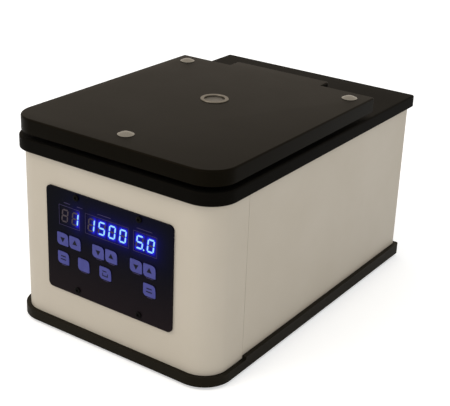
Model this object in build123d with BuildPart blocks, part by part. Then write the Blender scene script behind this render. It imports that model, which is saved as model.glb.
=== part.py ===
from build123d import *
from math import cos, radians, sin, tan
import os

os.makedirs("parts", exist_ok=True)

# A bench microcentrifuge with a flat hinged lid over a round rotor chamber.
# X runs right along the front, +Y to the rear, +Z up, with the origin on the bench
# under the middle of the case.

# Heights, from the bench up
foot_drop = 3.0
rim_height = 9.9
rim_rise = 3.0
case_shown = 171.7
deck_thick = 12.6
lid_gap = 4.8
lid_thick = 15.0

# Case in plan
case_width = 240.0
case_depth = 368.3
case_corner = 26.0
case_rear_corner = 1.0
overhang = 4.8
fascia_return = 52.0
fascia_wall = 2.5
sheet = 1.5
flange_width = 12.0
seam_gap = 0.3
lap_length = 10.0

# Base tray and feet
tray_floor = 4.0
case_clearance = 0.3
foot_radius = 11.0
foot_recess = 2.0
foot_inset_x = 24.0
foot_inset_y = 26.0
tray_slot_width = 3.6
tray_slot_length = 50.0
tray_slot_pitch = 9.0
tray_slots = 11
tray_slots_front_inset = 66.15
tray_slots_rear_inset = 61.15

# Screws
small_screw_radius = 1.5
medium_screw_radius = 2.0
large_screw_radius = 2.5
head_ratio = 1.9
screw_clearance = 0.15

# Rotor chamber
bowl_front_gap = 64.65
bowl_side_gap = 22.0
bowl_depth = 91.2
bowl_wall = 1.5
bowl_corner = 10.0
bowl_flange = 9.5
bowl_clearance = 0.5
collar_radius = 26.0
collar_height = 6.0
seal_width = 8.0
seal_squeeze_gap = 0.3

# Fixed-angle rotor
rotor_side_gap = 10.0
rotor_height = 53.0
rotor_clearance = 14.0
tube_count = 18
tube_hole_radius = 5.5
tube_hole_depth = 38.0
tube_mouth_inset = 35.0
tube_mouth_height = 36.0
tube_angle = 45.0
rotor_floor_height = 21.0
rotor_dish = 14.0
rotor_dish_radius = 56.0
rotor_dish_draft = 6.0
rotor_chamfer = 8.0
rotor_shoulder = 34.0
rotor_rim = 6.0
hub_radius = 20.0
hub_height = 40.0
spindle_radius = 8.0
spindle_clearance = 0.03
seat_radius = 17.0
seat_thick = 5.0
nut_radius = 13.0
nut_height = 14.0

# Motor
motor_radius = 47.0
motor_wall = 3.0
motor_floor = 4.0
motor_cap_thick = 9.0
motor_drop = 2.5
plate_thick = 3.0
mount_height = 30.0
mount_radius = 12.0
mount_circle_radius = 72.0
shaft_radius = 5.0
cap_shaft_gap = 1.0
bearing_radius = 13.0
bearing_height = 7.0
stator_gap = 2.0
magnet_radius = 22.0
magnet_end_gap = 3.0
running_clearance = 0.04
motor_screw_circle_radius = 30.0
mount_pad = 4.0
mount_waist = 3.0
boot_wall = 2.0
boot_foot = 18.0

# Lid
lid_side_overhang = 3.0
lid_front_overhang = 2.85
lid_hinge_gap = 11.0
lid_corner = 28.0
lid_rear_corner = 3.0
lid_skin = 4.0
lid_wall = 4.0
lid_shelf = 4.0
lid_plate_thick = 2.5
plate_clearance = 0.3
edge_round = 1.8
dome_radius = 8.0
dome_height = 3.0
dome_shank = 3.0
dome_boss = 9.0
dome_front_inset = 27.5
dome_side_inset = 19.0
dome_rear_inset = 20.0

# Viewing port
port_radius = 14.5
port_sight = 10.5
port_rise = 0.8
port_sink = 1.2
window_thick = 4.0
window_lip = 1.4
port_boss = 18.0

# Hinge
tongue_width = 118.0
tongue_hinge_overhang = 6.0
hinge_bowl_gap = 24.5
hinge_height = 8.8
pin_radius = 2.5
pin_clearance = 0.05
pin_seat = 0.02
pin_inset = 1.0
ear_radius = 4.5
ear_width = 12.0
ear_x = 36.0
ear_side_gap = 0.5
ear_turn_gap = 0.7
hinge_plate_thick = 3.0
hinge_plate_x = 52.0
hinge_plate_front = 9.0
hinge_plate_rear = 7.5
hinge_screw_inset = 4.0
hinge_screw_grip = 3.0

# Deck
deck_corner = 29.0
deck_rear_corner = 3.0
deck_skin = 4.0
deck_rim = 10.0
deck_ring = 14.0
deck_screw_grip = 6.0

# Latch
striker_inset = 15.75
striker_thick = 2.5
striker_width = 12.0
striker_depth = 33.0
striker_flange_length = 22.0
striker_flange_width = 24.0
striker_screw_x = 8.4
latch_window = 7.2
latch_slot_front = 5.0
latch_slot_rear = 1.5
latch_slot_side = 1.2
bolt_radius = 2.5
bolt_travel = 8.0
bolt_clearance = 0.08
bracket_half = 16.0
bracket_sheet = 2.0
bracket_flange = 8.0
bracket_depth = 18.6
solenoid_half = 12.0
solenoid_bowl_gap = 5.0
solenoid_stand = 6.0
bracket_nose = 3.0
latch_screw_grip = 3.0

# Control panel
panel_width = 153.0
panel_height = 108.1
panel_z = 48.3
panel_thick = 2.0
panel_corner = 5.0
panel_screw_x = 38.0
panel_screw_drop = 4.2
panel_screw_rise = 6.2
panel_screw_seat = 4.5
panel_head_radius = 3.25
panel_window_side = 11.5
display_width = 25.0
display_height = 19.0
display_depth = 8.0
display_sink = 0.3
display_gap = 0.25
display_drop = 27.0
display_x = (-46.8, -13.5, 12.0, 44.8)
board_thick = 1.6
board_margin = 6.0
spacer_radius = 2.5

# Keys
key_width = 14.0
key_height = 12.5
key_round = 7.0
key_rise = 0.9
key_gap = 0.2
key_lip = 0.6
key_lip_thick = 1.0
key_lip_gap = 0.2
key_travel = 0.5
upper_row_drop = 25.0
lower_row_drop = 45.0
upper_row_x = (-56.0, -40.3, -11.0, 5.0, 34.9, 50.6)
lower_row_x = (-55.6, -29.5, -2.4, 50.7)
switch_size = 6.0
switch_body = 3.5
switch_button = 1.75

# Mains inlet, fuse drawer and power switch on the rear wall
inlet_side_inset = 52.0
inlet_z = 46.0
inlet_width = 28.0
inlet_height = 31.0
inlet_depth = 30.0
inlet_flange_width = 50.0
inlet_flange_height = 36.0
inlet_flange = 3.0
socket_width = 24.8
socket_height = 16.6
socket_depth = 16.0
socket_rise = 5.5
socket_cut = 3.8
blade_width = 2.0
blade_height = 4.0
blade_length = 14.0
blade_pitch = 14.0
drawer_width = 20.0
drawer_height = 7.0
drawer_drop = 10.5
drawer_depth = 22.0
drawer_gap = 0.2
drawer_face = 1.3
fuse_radius = 2.5
fuse_end_gap = 1.0
power_inlet_gap = 54.0
power_z = 46.0
power_flange_width = 20.0
power_flange_height = 28.0
power_flange = 2.0
power_body_depth = 18.0
rocker_width = 13.0
rocker_half = 10.5
rocker_tip = 3.2
rocker_waist = 1.4
rocker_tilt = 10.0
rocker_axis_in = 1.0
rocker_gap = 0.6
pivot_radius = 1.2
pivot_length = 0.4
rear_slot_width = 3.5
rear_slot_length = 42.0
rear_slot_pitch = 7.0
rear_slots = 18
rear_slots_z = 128.0

# Power board
supply_side_gap = 30.0
supply_mount_gap = 10.0
supply_inlet_gap = 4.15
supply_board_lift = 15.0
sink_width = 44.0
sink_inset = 5.0
sink_height = 34.0
sink_base = 5.0
sink_fin = 2.0
sink_fins = 6
capacitor_radius = 12.5
capacitor_height = 38.0

# Levels worked out from the heights
tray_z = foot_drop
floor_z = tray_z + tray_floor
rim_z = tray_z + rim_height
deck_z = rim_z + case_shown
deck_top = deck_z + deck_thick
lid_z = deck_top + lid_gap
lid_top = lid_z + lid_thick
case_x = case_width / 2
case_y = case_depth / 2
outer_x = case_x + overhang
outer_y = case_y + overhang
seam_y = fascia_return - case_y
bowl_radius = case_x - bowl_side_gap
bowl_outer = bowl_radius + bowl_wall
spin_y = bowl_front_gap + bowl_outer - case_y
hinge_y = spin_y + bowl_outer + hinge_bowl_gap
lid_rear_y = hinge_y - lid_hinge_gap
tongue_rear_y = hinge_y + tongue_hinge_overhang
rotor_radius = bowl_radius - rotor_side_gap
tube_mouth_radius = rotor_radius - tube_mouth_inset
lid_x = case_x + lid_side_overhang
lid_front_y = -case_y - lid_front_overhang
dome_front_y = lid_front_y + dome_front_inset
striker_y = lid_front_y + striker_inset
display_z = panel_z + panel_height - display_drop
upper_row_z = display_z - upper_row_drop
lower_row_z = display_z - lower_row_drop
inlet_x = inlet_side_inset - case_x
power_x = inlet_x + power_inlet_gap
hinge_z = deck_top + hinge_height
bowl_floor = deck_top - bowl_depth
rotor_z = bowl_floor + rotor_clearance
motor_top = bowl_floor - bowl_wall - motor_drop
plate_z = floor_z + mount_height
motor_z = plate_z + plate_thick
cap_z = motor_top - motor_cap_thick
panel_face = case_y + panel_thick
board_face = panel_face - display_sink - display_depth

spin_plane = Plane.XZ.offset(-spin_y)
spin_axis = Axis((0, spin_y, 0), (0, 0, 1))


def slab_outline(half_x, front_y, rear_y, front_round, rear_round):
    """A plan outline with round front corners and sharper rear ones."""
    with BuildSketch() as plan:
        with Locations((0, (front_y + rear_y) / 2)):
            Rectangle(2 * half_x, rear_y - front_y)
        fillet(plan.vertices().group_by(Axis.Y)[0], front_round)
        fillet(plan.vertices().group_by(Axis.Y)[-1], rear_round)
    return plan.sketch


def case_outline(inset):
    """The case's plan outline, moved in by inset, or out where it is negative."""
    rear_round = max(case_rear_corner - inset, 0.5)
    return slab_outline(
        case_x - inset, inset - case_y, case_y - inset, case_corner - inset, rear_round
    )


def leaf_outline(grow):
    """A key's outline, round at two opposite corners and sharp at the others."""
    with BuildSketch() as leaf:
        Rectangle(key_width + 2 * grow, key_height + 2 * grow)
        corners = leaf.vertices().sort_by(Axis((0, 0, 0), (1, 1, 0)))
        fillet([corners[0], corners[-1]], key_round + grow)
    return leaf.sketch


def front_half(rear_y):
    """A plain area that covers the case ahead of rear_y."""
    with BuildSketch() as area:
        with Locations((0, (rear_y - 2 * case_y) / 2)):
            Rectangle(2 * case_width, rear_y + 2 * case_y)
    return area.sketch


case_outer = case_outline(0)
case_flange = case_outline(flange_width)
fascia_inner = case_outline(fascia_wall)
sheet_inner = case_outline(sheet)
tray_pocket = case_outline(-case_clearance)
tray_outer = slab_outline(
    outer_x, -outer_y, outer_y, case_corner + overhang, deck_rear_corner
)
deck_outer = slab_outline(outer_x, -outer_y, outer_y, deck_corner, deck_rear_corner)
ahead_of_seam = front_half(seam_y)
ahead_of_sheet = front_half(seam_y + seam_gap)
key_leaf = leaf_outline(0)
key_lip_leaf = leaf_outline(key_lip)
key_hole_leaf = leaf_outline(key_gap)

foot_x = outer_x - foot_inset_x
foot_y = outer_y - foot_inset_y
flange_x = case_x - flange_width / 2 - sheet
flange_y = case_y - flange_width / 2 - sheet
case_screws_at = [
    (side * x, y)
    for side in (-1, 1)
    for x, y in ((flange_x / 2, -flange_y), (flange_x, case_y / 4), (flange_x / 2, flange_y))
]


def screw_head(radius):
    """The radius of a screw's head."""
    return radius * head_ratio


# Base tray: the case stands in its pocket, behind a rim that steps up at the seam
with BuildPart() as base_tray:
    with BuildSketch(Plane.XY.offset(tray_z)):
        add(tray_outer)
    extrude(amount=rim_height + rim_rise)
    with BuildSketch(Plane.XY.offset(rim_z)):
        add(ahead_of_seam)
    extrude(amount=rim_rise, mode=Mode.SUBTRACT)
    with BuildSketch(Plane.XY.offset(floor_z)):
        add(tray_pocket)
    extrude(amount=rim_height + rim_rise, mode=Mode.SUBTRACT)
    with BuildSketch(Plane.XY.offset(tray_z)):
        for y in (tray_slots_front_inset - case_y, case_y - tray_slots_rear_inset):
            with Locations((0, y)):
                with GridLocations(tray_slot_pitch, 0, tray_slots, 1):
                    SlotOverall(tray_slot_length, tray_slot_width, rotation=90)
        with Locations(*case_screws_at):
            Circle(medium_screw_radius + screw_clearance)
        with GridLocations(2 * foot_x, 2 * foot_y, 2, 2):
            Circle(medium_screw_radius + screw_clearance)
    extrude(amount=tray_floor, mode=Mode.SUBTRACT)
    with BuildSketch(Plane.XY.offset(tray_z)):
        with GridLocations(2 * foot_x, 2 * foot_y, 2, 2):
            Circle(foot_radius + screw_clearance)
        with Locations(*case_screws_at):
            Circle(screw_head(medium_screw_radius) + screw_clearance)
    extrude(amount=foot_recess, mode=Mode.SUBTRACT)
base_tray.part.label = "base_tray"
export_step(base_tray.part, "parts/base_tray.step")

# Rubber feet, each with a sunk hole for its screw
with BuildPart() as feet:
    with BuildSketch(Plane.XY):
        with GridLocations(2 * foot_x, 2 * foot_y, 2, 2):
            Circle(foot_radius)
            Circle(screw_head(medium_screw_radius) + screw_clearance, mode=Mode.SUBTRACT)
    extrude(amount=foot_drop)
    with BuildSketch(Plane.XY.offset(foot_drop)):
        with GridLocations(2 * foot_x, 2 * foot_y, 2, 2):
            Circle(foot_radius)
            Circle(medium_screw_radius + screw_clearance, mode=Mode.SUBTRACT)
    extrude(amount=foot_recess)
feet.part.label = "feet"
export_step(feet.part, "parts/feet.step")

# Front fascia: a shell round the front corners, with flanges above and below
panel_top = panel_z + panel_height
panel_screws_z = (panel_z + panel_screw_rise, panel_top - panel_screw_drop)
window_low = panel_screws_z[0] + panel_screw_seat
window_high = panel_screws_z[1] - panel_screw_seat
window_half = panel_width / 2 - panel_window_side
front_plane = Plane.XZ.offset(case_y)

with BuildPart() as front_fascia:
    with BuildSketch(Plane.XY.offset(floor_z)):
        add(case_outer)
        add(fascia_inner, mode=Mode.SUBTRACT)
        add(ahead_of_seam, mode=Mode.INTERSECT)
    extrude(amount=deck_z - floor_z)
    for level in (floor_z, deck_z - fascia_wall):
        with BuildSketch(Plane.XY.offset(level)):
            add(case_outer)
            add(case_flange, mode=Mode.SUBTRACT)
            add(ahead_of_seam, mode=Mode.INTERSECT)
            with Locations(*case_screws_at):
                Circle(medium_screw_radius + screw_clearance, mode=Mode.SUBTRACT)
        extrude(amount=fascia_wall)
    with BuildSketch(Plane.XY.offset(deck_z - fascia_wall)):
        with Locations((0, fascia_wall - case_y)):
            Rectangle(
                2 * (bracket_half + bracket_flange + fascia_wall),
                flange_width,
                align=(Align.CENTER, Align.MIN),
            )
    extrude(amount=fascia_wall, mode=Mode.SUBTRACT)
    with BuildSketch(front_plane):
        with Locations((0, (window_low + window_high) / 2)):
            Rectangle(2 * window_half, window_high - window_low)
        for z in panel_screws_z:
            with Locations((-panel_screw_x, z), (panel_screw_x, z)):
                Circle(small_screw_radius + screw_clearance)
    extrude(amount=-fascia_wall, mode=Mode.SUBTRACT)
front_fascia.part.label = "front_fascia"
export_step(front_fascia.part, "parts/front_fascia.step")

# Side panels: bent sheet with flanges, lapped inside the fascia at the front
lap_outer = case_x - fascia_wall - screw_clearance
lap_inner = lap_outer - sheet
flange_inner = case_x - flange_width
panel_inside = case_x - sheet

for side, side_name in ((-1, "left_side"), (1, "right_side")):
    with BuildPart() as side_panel:
        with BuildSketch(Plane.XY.offset(floor_z)) as wall:
            with Locations((side * (case_x + panel_inside) / 2, seam_y + seam_gap)):
                Rectangle(
                    sheet, case_y - seam_y - seam_gap, align=(Align.CENTER, Align.MIN)
                )
            outer_corner = wall.vertices().sort_by_distance((side * case_x, case_y, 0))[0]
            fillet(outer_corner, case_rear_corner)
            with Locations((side * (panel_inside + flange_inner) / 2, case_y - sheet)):
                Rectangle(
                    panel_inside - flange_inner, sheet, align=(Align.CENTER, Align.MAX)
                )
        extrude(amount=deck_z - floor_z)
        for level in (floor_z, deck_z - sheet):
            with BuildSketch(Plane.XY.offset(level)):
                with Locations((side * (panel_inside + flange_inner) / 2, seam_y + seam_gap)):
                    Rectangle(
                        panel_inside - flange_inner,
                        case_y - sheet - seam_y - seam_gap,
                        align=(Align.CENTER, Align.MIN),
                    )
                with Locations(*case_screws_at):
                    Circle(medium_screw_radius + screw_clearance, mode=Mode.SUBTRACT)
            extrude(amount=sheet)
        with BuildSketch(Plane.XY.offset(floor_z + fascia_wall + sheet)):
            with Locations((side * (lap_outer + lap_inner) / 2, seam_y - lap_length)):
                Rectangle(
                    sheet, lap_length + seam_gap + sheet, align=(Align.CENTER, Align.MIN)
                )
            with Locations((side * (case_x + lap_inner) / 2, seam_y + seam_gap)):
                Rectangle(case_x - lap_inner, sheet, align=(Align.CENTER, Align.MIN))
        extrude(amount=deck_z - floor_z - 2 * (fascia_wall + sheet))
    side_panel.part.label = side_name
    export_step(side_panel.part, f"parts/{side_name}.step")

# Rear panel: a flanged sheet with vents and the openings for the inlet and switch
rear_plane = Plane.XZ.offset(-case_y)
inlet_screw_x = (inlet_width + inlet_flange_width) / 4
inlet_screws_at = [(inlet_x - inlet_screw_x, inlet_z), (inlet_x + inlet_screw_x, inlet_z)]
rear_half = panel_inside - screw_clearance

with BuildPart() as rear_panel:
    with BuildSketch(rear_plane):
        with Locations((0, floor_z)):
            Rectangle(2 * rear_half, deck_z - floor_z, align=(Align.CENTER, Align.MIN))
    extrude(amount=sheet)
    for level in (floor_z, deck_z - sheet):
        with BuildSketch(Plane.XY.offset(level)):
            with Locations((0, case_y - sheet)):
                Rectangle(
                    2 * (flange_inner - 2 * sheet),
                    flange_width - sheet,
                    align=(Align.CENTER, Align.MAX),
                )
            with Locations(*case_screws_at):
                Circle(medium_screw_radius + screw_clearance, mode=Mode.SUBTRACT)
        extrude(amount=sheet)
    with BuildSketch(rear_plane):
        with Locations((inlet_x, inlet_z)):
            Rectangle(inlet_width + case_clearance, inlet_height + case_clearance)
        with Locations(*inlet_screws_at):
            Circle(small_screw_radius + screw_clearance)
        with Locations((power_x, power_z)):
            Rectangle(
                rocker_width + 4 * rocker_gap + case_clearance,
                2 * rocker_half + 4 * rocker_gap + case_clearance,
            )
        with Locations((0, rear_slots_z)):
            with GridLocations(rear_slot_pitch, 0, rear_slots, 1):
                SlotOverall(rear_slot_length, rear_slot_width, rotation=90)
    extrude(amount=sheet, mode=Mode.SUBTRACT)
rear_panel.part.label = "rear_panel"
export_step(rear_panel.part, "parts/rear_panel.step")

hinge_plate_z = deck_top - deck_skin - hinge_plate_thick
hinge_screws_at = [
    (side * (hinge_plate_x - 2 * large_screw_radius), y)
    for side in (-1, 1)
    for y in (
        hinge_y - hinge_plate_front + hinge_screw_inset,
        hinge_y + hinge_plate_rear - hinge_screw_inset,
    )
]

# Medium screws: up through the feet, the tray and the hinge bracket, and up into the deck
with BuildPart() as medium_screws:
    with BuildSketch(Plane.XY.offset(foot_drop - medium_screw_radius / 2)):
        with GridLocations(2 * foot_x, 2 * foot_y, 2, 2):
            Circle(screw_head(medium_screw_radius))
    extrude(amount=medium_screw_radius / 2)
    with BuildSketch(Plane.XY.offset(foot_drop)):
        with GridLocations(2 * foot_x, 2 * foot_y, 2, 2):
            Circle(medium_screw_radius)
    extrude(amount=tray_floor)
    with BuildSketch(Plane.XY.offset(tray_z)):
        with Locations(*case_screws_at):
            Circle(screw_head(medium_screw_radius))
    extrude(amount=foot_recess)
    with BuildSketch(Plane.XY.offset(tray_z)):
        with Locations(*case_screws_at):
            Circle(medium_screw_radius)
    extrude(amount=tray_floor + sheet + medium_screw_radius)
    for x, y in case_screws_at:
        flange = fascia_wall if y < seam_y else sheet
        with BuildSketch(Plane.XY.offset(deck_z - flange - foot_recess)):
            with Locations((x, y)):
                Circle(screw_head(medium_screw_radius))
        extrude(amount=foot_recess)
        with BuildSketch(Plane.XY.offset(deck_z - flange)):
            with Locations((x, y)):
                Circle(medium_screw_radius)
        extrude(amount=flange + deck_screw_grip)
    with BuildSketch(Plane.XY.offset(hinge_plate_z - medium_screw_radius)):
        with Locations(*hinge_screws_at):
            Circle(screw_head(medium_screw_radius))
    extrude(amount=medium_screw_radius)
    with BuildSketch(Plane.XY.offset(hinge_plate_z)):
        with Locations(*hinge_screws_at):
            Circle(medium_screw_radius)
    extrude(amount=hinge_plate_thick + hinge_screw_grip)
medium_screws.part.label = "medium_screws"
export_step(medium_screws.part, "parts/medium_screws.step")

# Top deck: a moulded slab, hollow below at front and rear, open over the bowl
deck_ring_radius = bowl_outer + deck_ring
latch_slot = (
    2 * latch_slot_side + striker_width,
    latch_slot_front + striker_thick + latch_slot_rear,
)
latch_slot_y = striker_y + (latch_slot_rear - latch_slot_front) / 2
ear_slot_y = 2 * (ear_radius + ear_side_gap)
bracket_low = deck_z - bracket_depth
guide_y = striker_y + striker_thick / 2 + latch_slot_rear
bracket_front = guide_y - bracket_sheet - bolt_travel - bracket_nose
bracket_rear = spin_y - bowl_outer - solenoid_bowl_gap
bracket_length = bracket_rear - bracket_front
solenoid_length = bracket_rear - guide_y - bracket_sheet - solenoid_stand
latch_screws_at = [
    (side * (bracket_half + bracket_flange / 2), y)
    for side in (-1, 1)
    for y in (bracket_front + bracket_flange / 2, bracket_rear - bracket_flange / 2)
]

with BuildPart() as top_deck:
    with BuildSketch(Plane.XY.offset(deck_z)):
        add(deck_outer)
    extrude(amount=deck_thick)
    fillet(top_deck.faces().sort_by(Axis.Z)[-1].edges(), edge_round)
    with BuildSketch(Plane.XY.offset(deck_z)):
        add(case_outline(deck_rim))
        with Locations((0, spin_y)):
            Circle(deck_ring_radius, mode=Mode.SUBTRACT)
    extrude(amount=deck_thick - deck_skin, mode=Mode.SUBTRACT)
    with BuildSketch(Plane.XY.offset(deck_z)):
        with Locations((0, spin_y)):
            Circle(bowl_outer + bowl_clearance)
        with Locations((0, latch_slot_y)):
            Rectangle(*latch_slot)
        with Locations((-ear_x, hinge_y), (ear_x, hinge_y)):
            Rectangle(ear_width + 2 * ear_side_gap, ear_slot_y)
    extrude(amount=deck_thick, mode=Mode.SUBTRACT)
    with BuildSketch(Plane.XY.offset(deck_top - bowl_wall)):
        with Locations((0, spin_y)):
            Circle(bowl_radius + bowl_wall + bowl_flange + case_clearance)
    extrude(amount=bowl_wall, mode=Mode.SUBTRACT)
    with BuildSketch(Plane.XY.offset(deck_z)):
        with Locations(*case_screws_at):
            Circle(medium_screw_radius + screw_clearance)
    extrude(amount=deck_screw_grip, mode=Mode.SUBTRACT)
    with BuildSketch(Plane.XY.offset(deck_z)):
        with Locations(*latch_screws_at):
            Circle(small_screw_radius + screw_clearance)
    extrude(amount=latch_screw_grip, mode=Mode.SUBTRACT)
    with BuildSketch(Plane.XY.offset(deck_top - deck_skin)):
        with Locations(*hinge_screws_at):
            Circle(medium_screw_radius + screw_clearance)
    extrude(amount=hinge_screw_grip, mode=Mode.SUBTRACT)
top_deck.part.label = "top_deck"
export_step(top_deck.part, "parts/top_deck.step")

# Bowl: a drawn steel pan hung in the deck by its flange
with BuildPart() as bowl:
    with BuildSketch(spin_plane) as pan:
        with BuildLine():
            Polyline(
                (bowl_outer + bowl_flange, deck_top),
                (bowl_radius, deck_top),
                (bowl_radius, bowl_floor),
                (collar_radius + bowl_wall, bowl_floor),
                (collar_radius + bowl_wall, bowl_floor + collar_height),
                (collar_radius, bowl_floor + collar_height),
                (collar_radius, bowl_floor - bowl_wall),
                (bowl_outer, bowl_floor - bowl_wall),
                (bowl_outer, deck_top - bowl_wall),
                (bowl_outer + bowl_flange, deck_top - bowl_wall),
                close=True,
            )
        make_face()
        inner = pan.vertices().sort_by_distance((bowl_radius, bowl_floor, 0))[0]
        fillet(inner, bowl_corner)
        outer = pan.vertices().sort_by_distance((bowl_outer, bowl_floor - bowl_wall, 0))[0]
        fillet(outer, bowl_corner + bowl_wall)
    revolve(axis=spin_axis)
bowl.part.label = "bowl"
export_step(bowl.part, "parts/bowl.step")

# Bowl seal: a rubber ring on the bowl's flange, just under the closed lid's plate
with BuildPart() as bowl_seal:
    with BuildSketch(spin_plane):
        with Locations((bowl_outer, deck_top)):
            Rectangle(seal_width, lid_gap - seal_squeeze_gap, align=(Align.MIN, Align.MIN))
    revolve(axis=spin_axis)
    chamfer(bowl_seal.faces().sort_by(Axis.Z)[-1].edges(), seal_width / 8)
bowl_seal.part.label = "bowl_seal"
export_step(bowl_seal.part, "parts/bowl_seal.step")

# Control panel: a plate with windows for the displays and holes for the keys
key_centres = [(x, upper_row_z) for x in upper_row_x] + [(x, lower_row_z) for x in lower_row_x]
display_window_h = display_height + 2 * display_gap

with BuildPart() as control_panel:
    with BuildSketch(front_plane):
        with Locations((0, panel_z + panel_height / 2)):
            RectangleRounded(panel_width, panel_height, panel_corner)
        with Locations(*[(x, display_z) for x in display_x]):
            Rectangle(display_width + 2 * display_gap, display_window_h, mode=Mode.SUBTRACT)
        with Locations(*key_centres):
            add(key_hole_leaf, mode=Mode.SUBTRACT)
        for z in panel_screws_z:
            with Locations((-panel_screw_x, z), (panel_screw_x, z)):
                Circle(small_screw_radius + screw_clearance, mode=Mode.SUBTRACT)
    extrude(amount=panel_thick)
control_panel.part.label = "control_panel"
export_step(control_panel.part, "parts/control_panel.step")

# Panel screws: low round heads on the panel's face
panel_head_rise = small_screw_radius

with BuildPart() as panel_screws:
    for z in panel_screws_z:
        for x in (-panel_screw_x, panel_screw_x):
            with BuildSketch(Plane.XZ.offset(panel_face)):
                with Locations((x, z)):
                    Circle(panel_head_radius)
            extrude(amount=panel_head_rise)
            with BuildSketch(Plane.XZ.offset(panel_face)):
                with Locations((x, z)):
                    Circle(small_screw_radius)
            extrude(amount=-(panel_thick + fascia_wall + small_screw_radius))
    chamfer(panel_screws.faces().filter_by(Axis.Y).group_by(Axis.Y)[0].edges(), panel_head_rise / 3)
panel_screws.part.label = "panel_screws"
export_step(panel_screws.part, "parts/panel_screws.step")

# Display board behind the fascia
board_half = window_half + board_margin
board_low = window_low - board_margin
board_high = window_high + board_margin
board_mid = (board_low + board_high) / 2
spacer_half_x = board_half - spacer_radius - small_screw_radius
spacer_half_z = (board_high - board_low) / 2 - spacer_radius

with BuildPart() as display_board:
    with BuildSketch(Plane.XZ.offset(board_face - board_thick)):
        with Locations((0, board_mid)):
            Rectangle(2 * board_half, board_high - board_low)
    extrude(amount=board_thick)
display_board.part.label = "display_board"
export_step(display_board.part, "parts/display_board.step")

# Four two-digit display modules
with BuildPart() as led_displays:
    with BuildSketch(Plane.XZ.offset(board_face)):
        with Locations(*[(x, display_z) for x in display_x]):
            Rectangle(display_width, display_height)
    extrude(amount=display_depth)
led_displays.part.label = "led_displays"
export_step(led_displays.part, "parts/led_displays.step")

# Ten keys: a leaf-shaped cap with a lip behind the panel
lip_face = case_y - key_lip_gap
for number, centre in enumerate(key_centres, start=1):
    with BuildPart() as key:
        with BuildSketch(Plane.XZ.offset(lip_face - key_lip_thick)):
            with Locations(centre):
                add(key_lip_leaf)
        extrude(amount=key_lip_thick)
        with BuildSketch(Plane.XZ.offset(lip_face)):
            with Locations(centre):
                add(key_leaf)
        extrude(amount=panel_face + key_rise - lip_face)
    key.part.label = f"key_{number}"
    export_step(key.part, f"parts/key_{number}.step")

# Push switches on the board, one behind each key
switch_reach = lip_face - key_lip_thick - key_travel - screw_clearance
with BuildPart() as key_switches:
    with BuildSketch(Plane.XZ.offset(board_face)):
        with Locations(*key_centres):
            Rectangle(switch_size, switch_size)
    extrude(amount=switch_body)
    with BuildSketch(Plane.XZ.offset(board_face + switch_body)):
        with Locations(*key_centres):
            Circle(switch_button)
    extrude(amount=switch_reach - board_face - switch_body)
key_switches.part.label = "key_switches"
export_step(key_switches.part, "parts/key_switches.step")

# Lid: a moulded cover with a long tongue at the hinge and a hollow underside
cavity_top = lid_top - lid_skin
dome_rear_x = lid_x - dome_side_inset
dome_rear_y = lid_rear_y - dome_rear_inset
domes = [(0, dome_front_y), (-dome_rear_x, dome_rear_y), (dome_rear_x, dome_rear_y)]
lid_outline = slab_outline(lid_x, lid_front_y, lid_rear_y, lid_corner, lid_rear_corner)


def lid_inset(inset):
    """The lid's plan outline without its tongue, moved in by inset."""
    return slab_outline(
        lid_x - inset,
        lid_front_y + inset,
        lid_rear_y - inset,
        lid_corner - inset,
        lid_rear_corner,
    )


plate_rebate = lid_inset(lid_wall)
plate_outline = lid_inset(lid_wall + plate_clearance)
lid_cavity = lid_inset(lid_wall + lid_shelf)
window_z = lid_top - port_sink - window_thick
ear_slot_front = ear_radius + ear_turn_gap

with BuildPart() as lid_cover:
    with BuildSketch(Plane.XY.offset(lid_z)):
        add(lid_outline)
        with Locations((0, lid_rear_y - lid_wall)):
            Rectangle(
                tongue_width,
                tongue_rear_y - lid_rear_y + lid_wall,
                align=(Align.CENTER, Align.MIN),
            )
    extrude(amount=lid_thick)
    fillet(lid_cover.edges().filter_by(Axis.Z).group_by(Axis.Y)[-1], lid_rear_corner)
    fillet(lid_cover.faces().sort_by(Axis.Z)[-1].edges(), edge_round)
    with BuildSketch(Plane.XY.offset(lid_z)):
        add(plate_rebate)
    extrude(amount=lid_plate_thick, mode=Mode.SUBTRACT)
    with BuildSketch(Plane.XY.offset(lid_z + lid_plate_thick)):
        add(lid_cavity)
        with Locations(*domes):
            Circle(dome_boss, mode=Mode.SUBTRACT)
        with Locations((0, spin_y)):
            Circle(port_boss, mode=Mode.SUBTRACT)
    extrude(amount=cavity_top - lid_z - lid_plate_thick, mode=Mode.SUBTRACT)
    with BuildSketch(Plane.XY.offset(lid_z)):
        with Locations((0, spin_y)):
            Circle(port_sight)
        with Locations(*domes):
            Circle(dome_shank + screw_clearance)
    extrude(amount=lid_thick, mode=Mode.SUBTRACT)
    with BuildSketch(Plane.XY.offset(window_z)):
        with Locations((0, spin_y)):
            Circle(port_sight + window_lip)
    extrude(amount=window_thick, mode=Mode.SUBTRACT)
    with BuildSketch(Plane.XY.offset(lid_top - port_sink)):
        with Locations((0, spin_y)):
            Circle(port_radius + screw_clearance)
    extrude(amount=port_sink, mode=Mode.SUBTRACT)
    with BuildSketch(Plane.YZ.offset(-tongue_width / 2)):
        with Locations((hinge_y, hinge_z)):
            Circle(pin_radius + pin_clearance)
    extrude(amount=tongue_width, mode=Mode.SUBTRACT)
    with BuildSketch(Plane.XY.offset(lid_z)):
        with Locations((-ear_x, hinge_y - ear_slot_front), (ear_x, hinge_y - ear_slot_front)):
            Rectangle(
                ear_width + 2 * ear_side_gap,
                tongue_rear_y - hinge_y + 2 * ear_slot_front,
                align=(Align.CENTER, Align.MIN),
            )
    extrude(amount=hinge_z + ear_slot_front - lid_z, mode=Mode.SUBTRACT)
lid_cover.part.label = "lid_cover"
export_step(lid_cover.part, "parts/lid_cover.step")

# Steel plate closing the lid's underside
striker_screws_at = [(-striker_screw_x, dome_front_y), (striker_screw_x, dome_front_y)]

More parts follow.
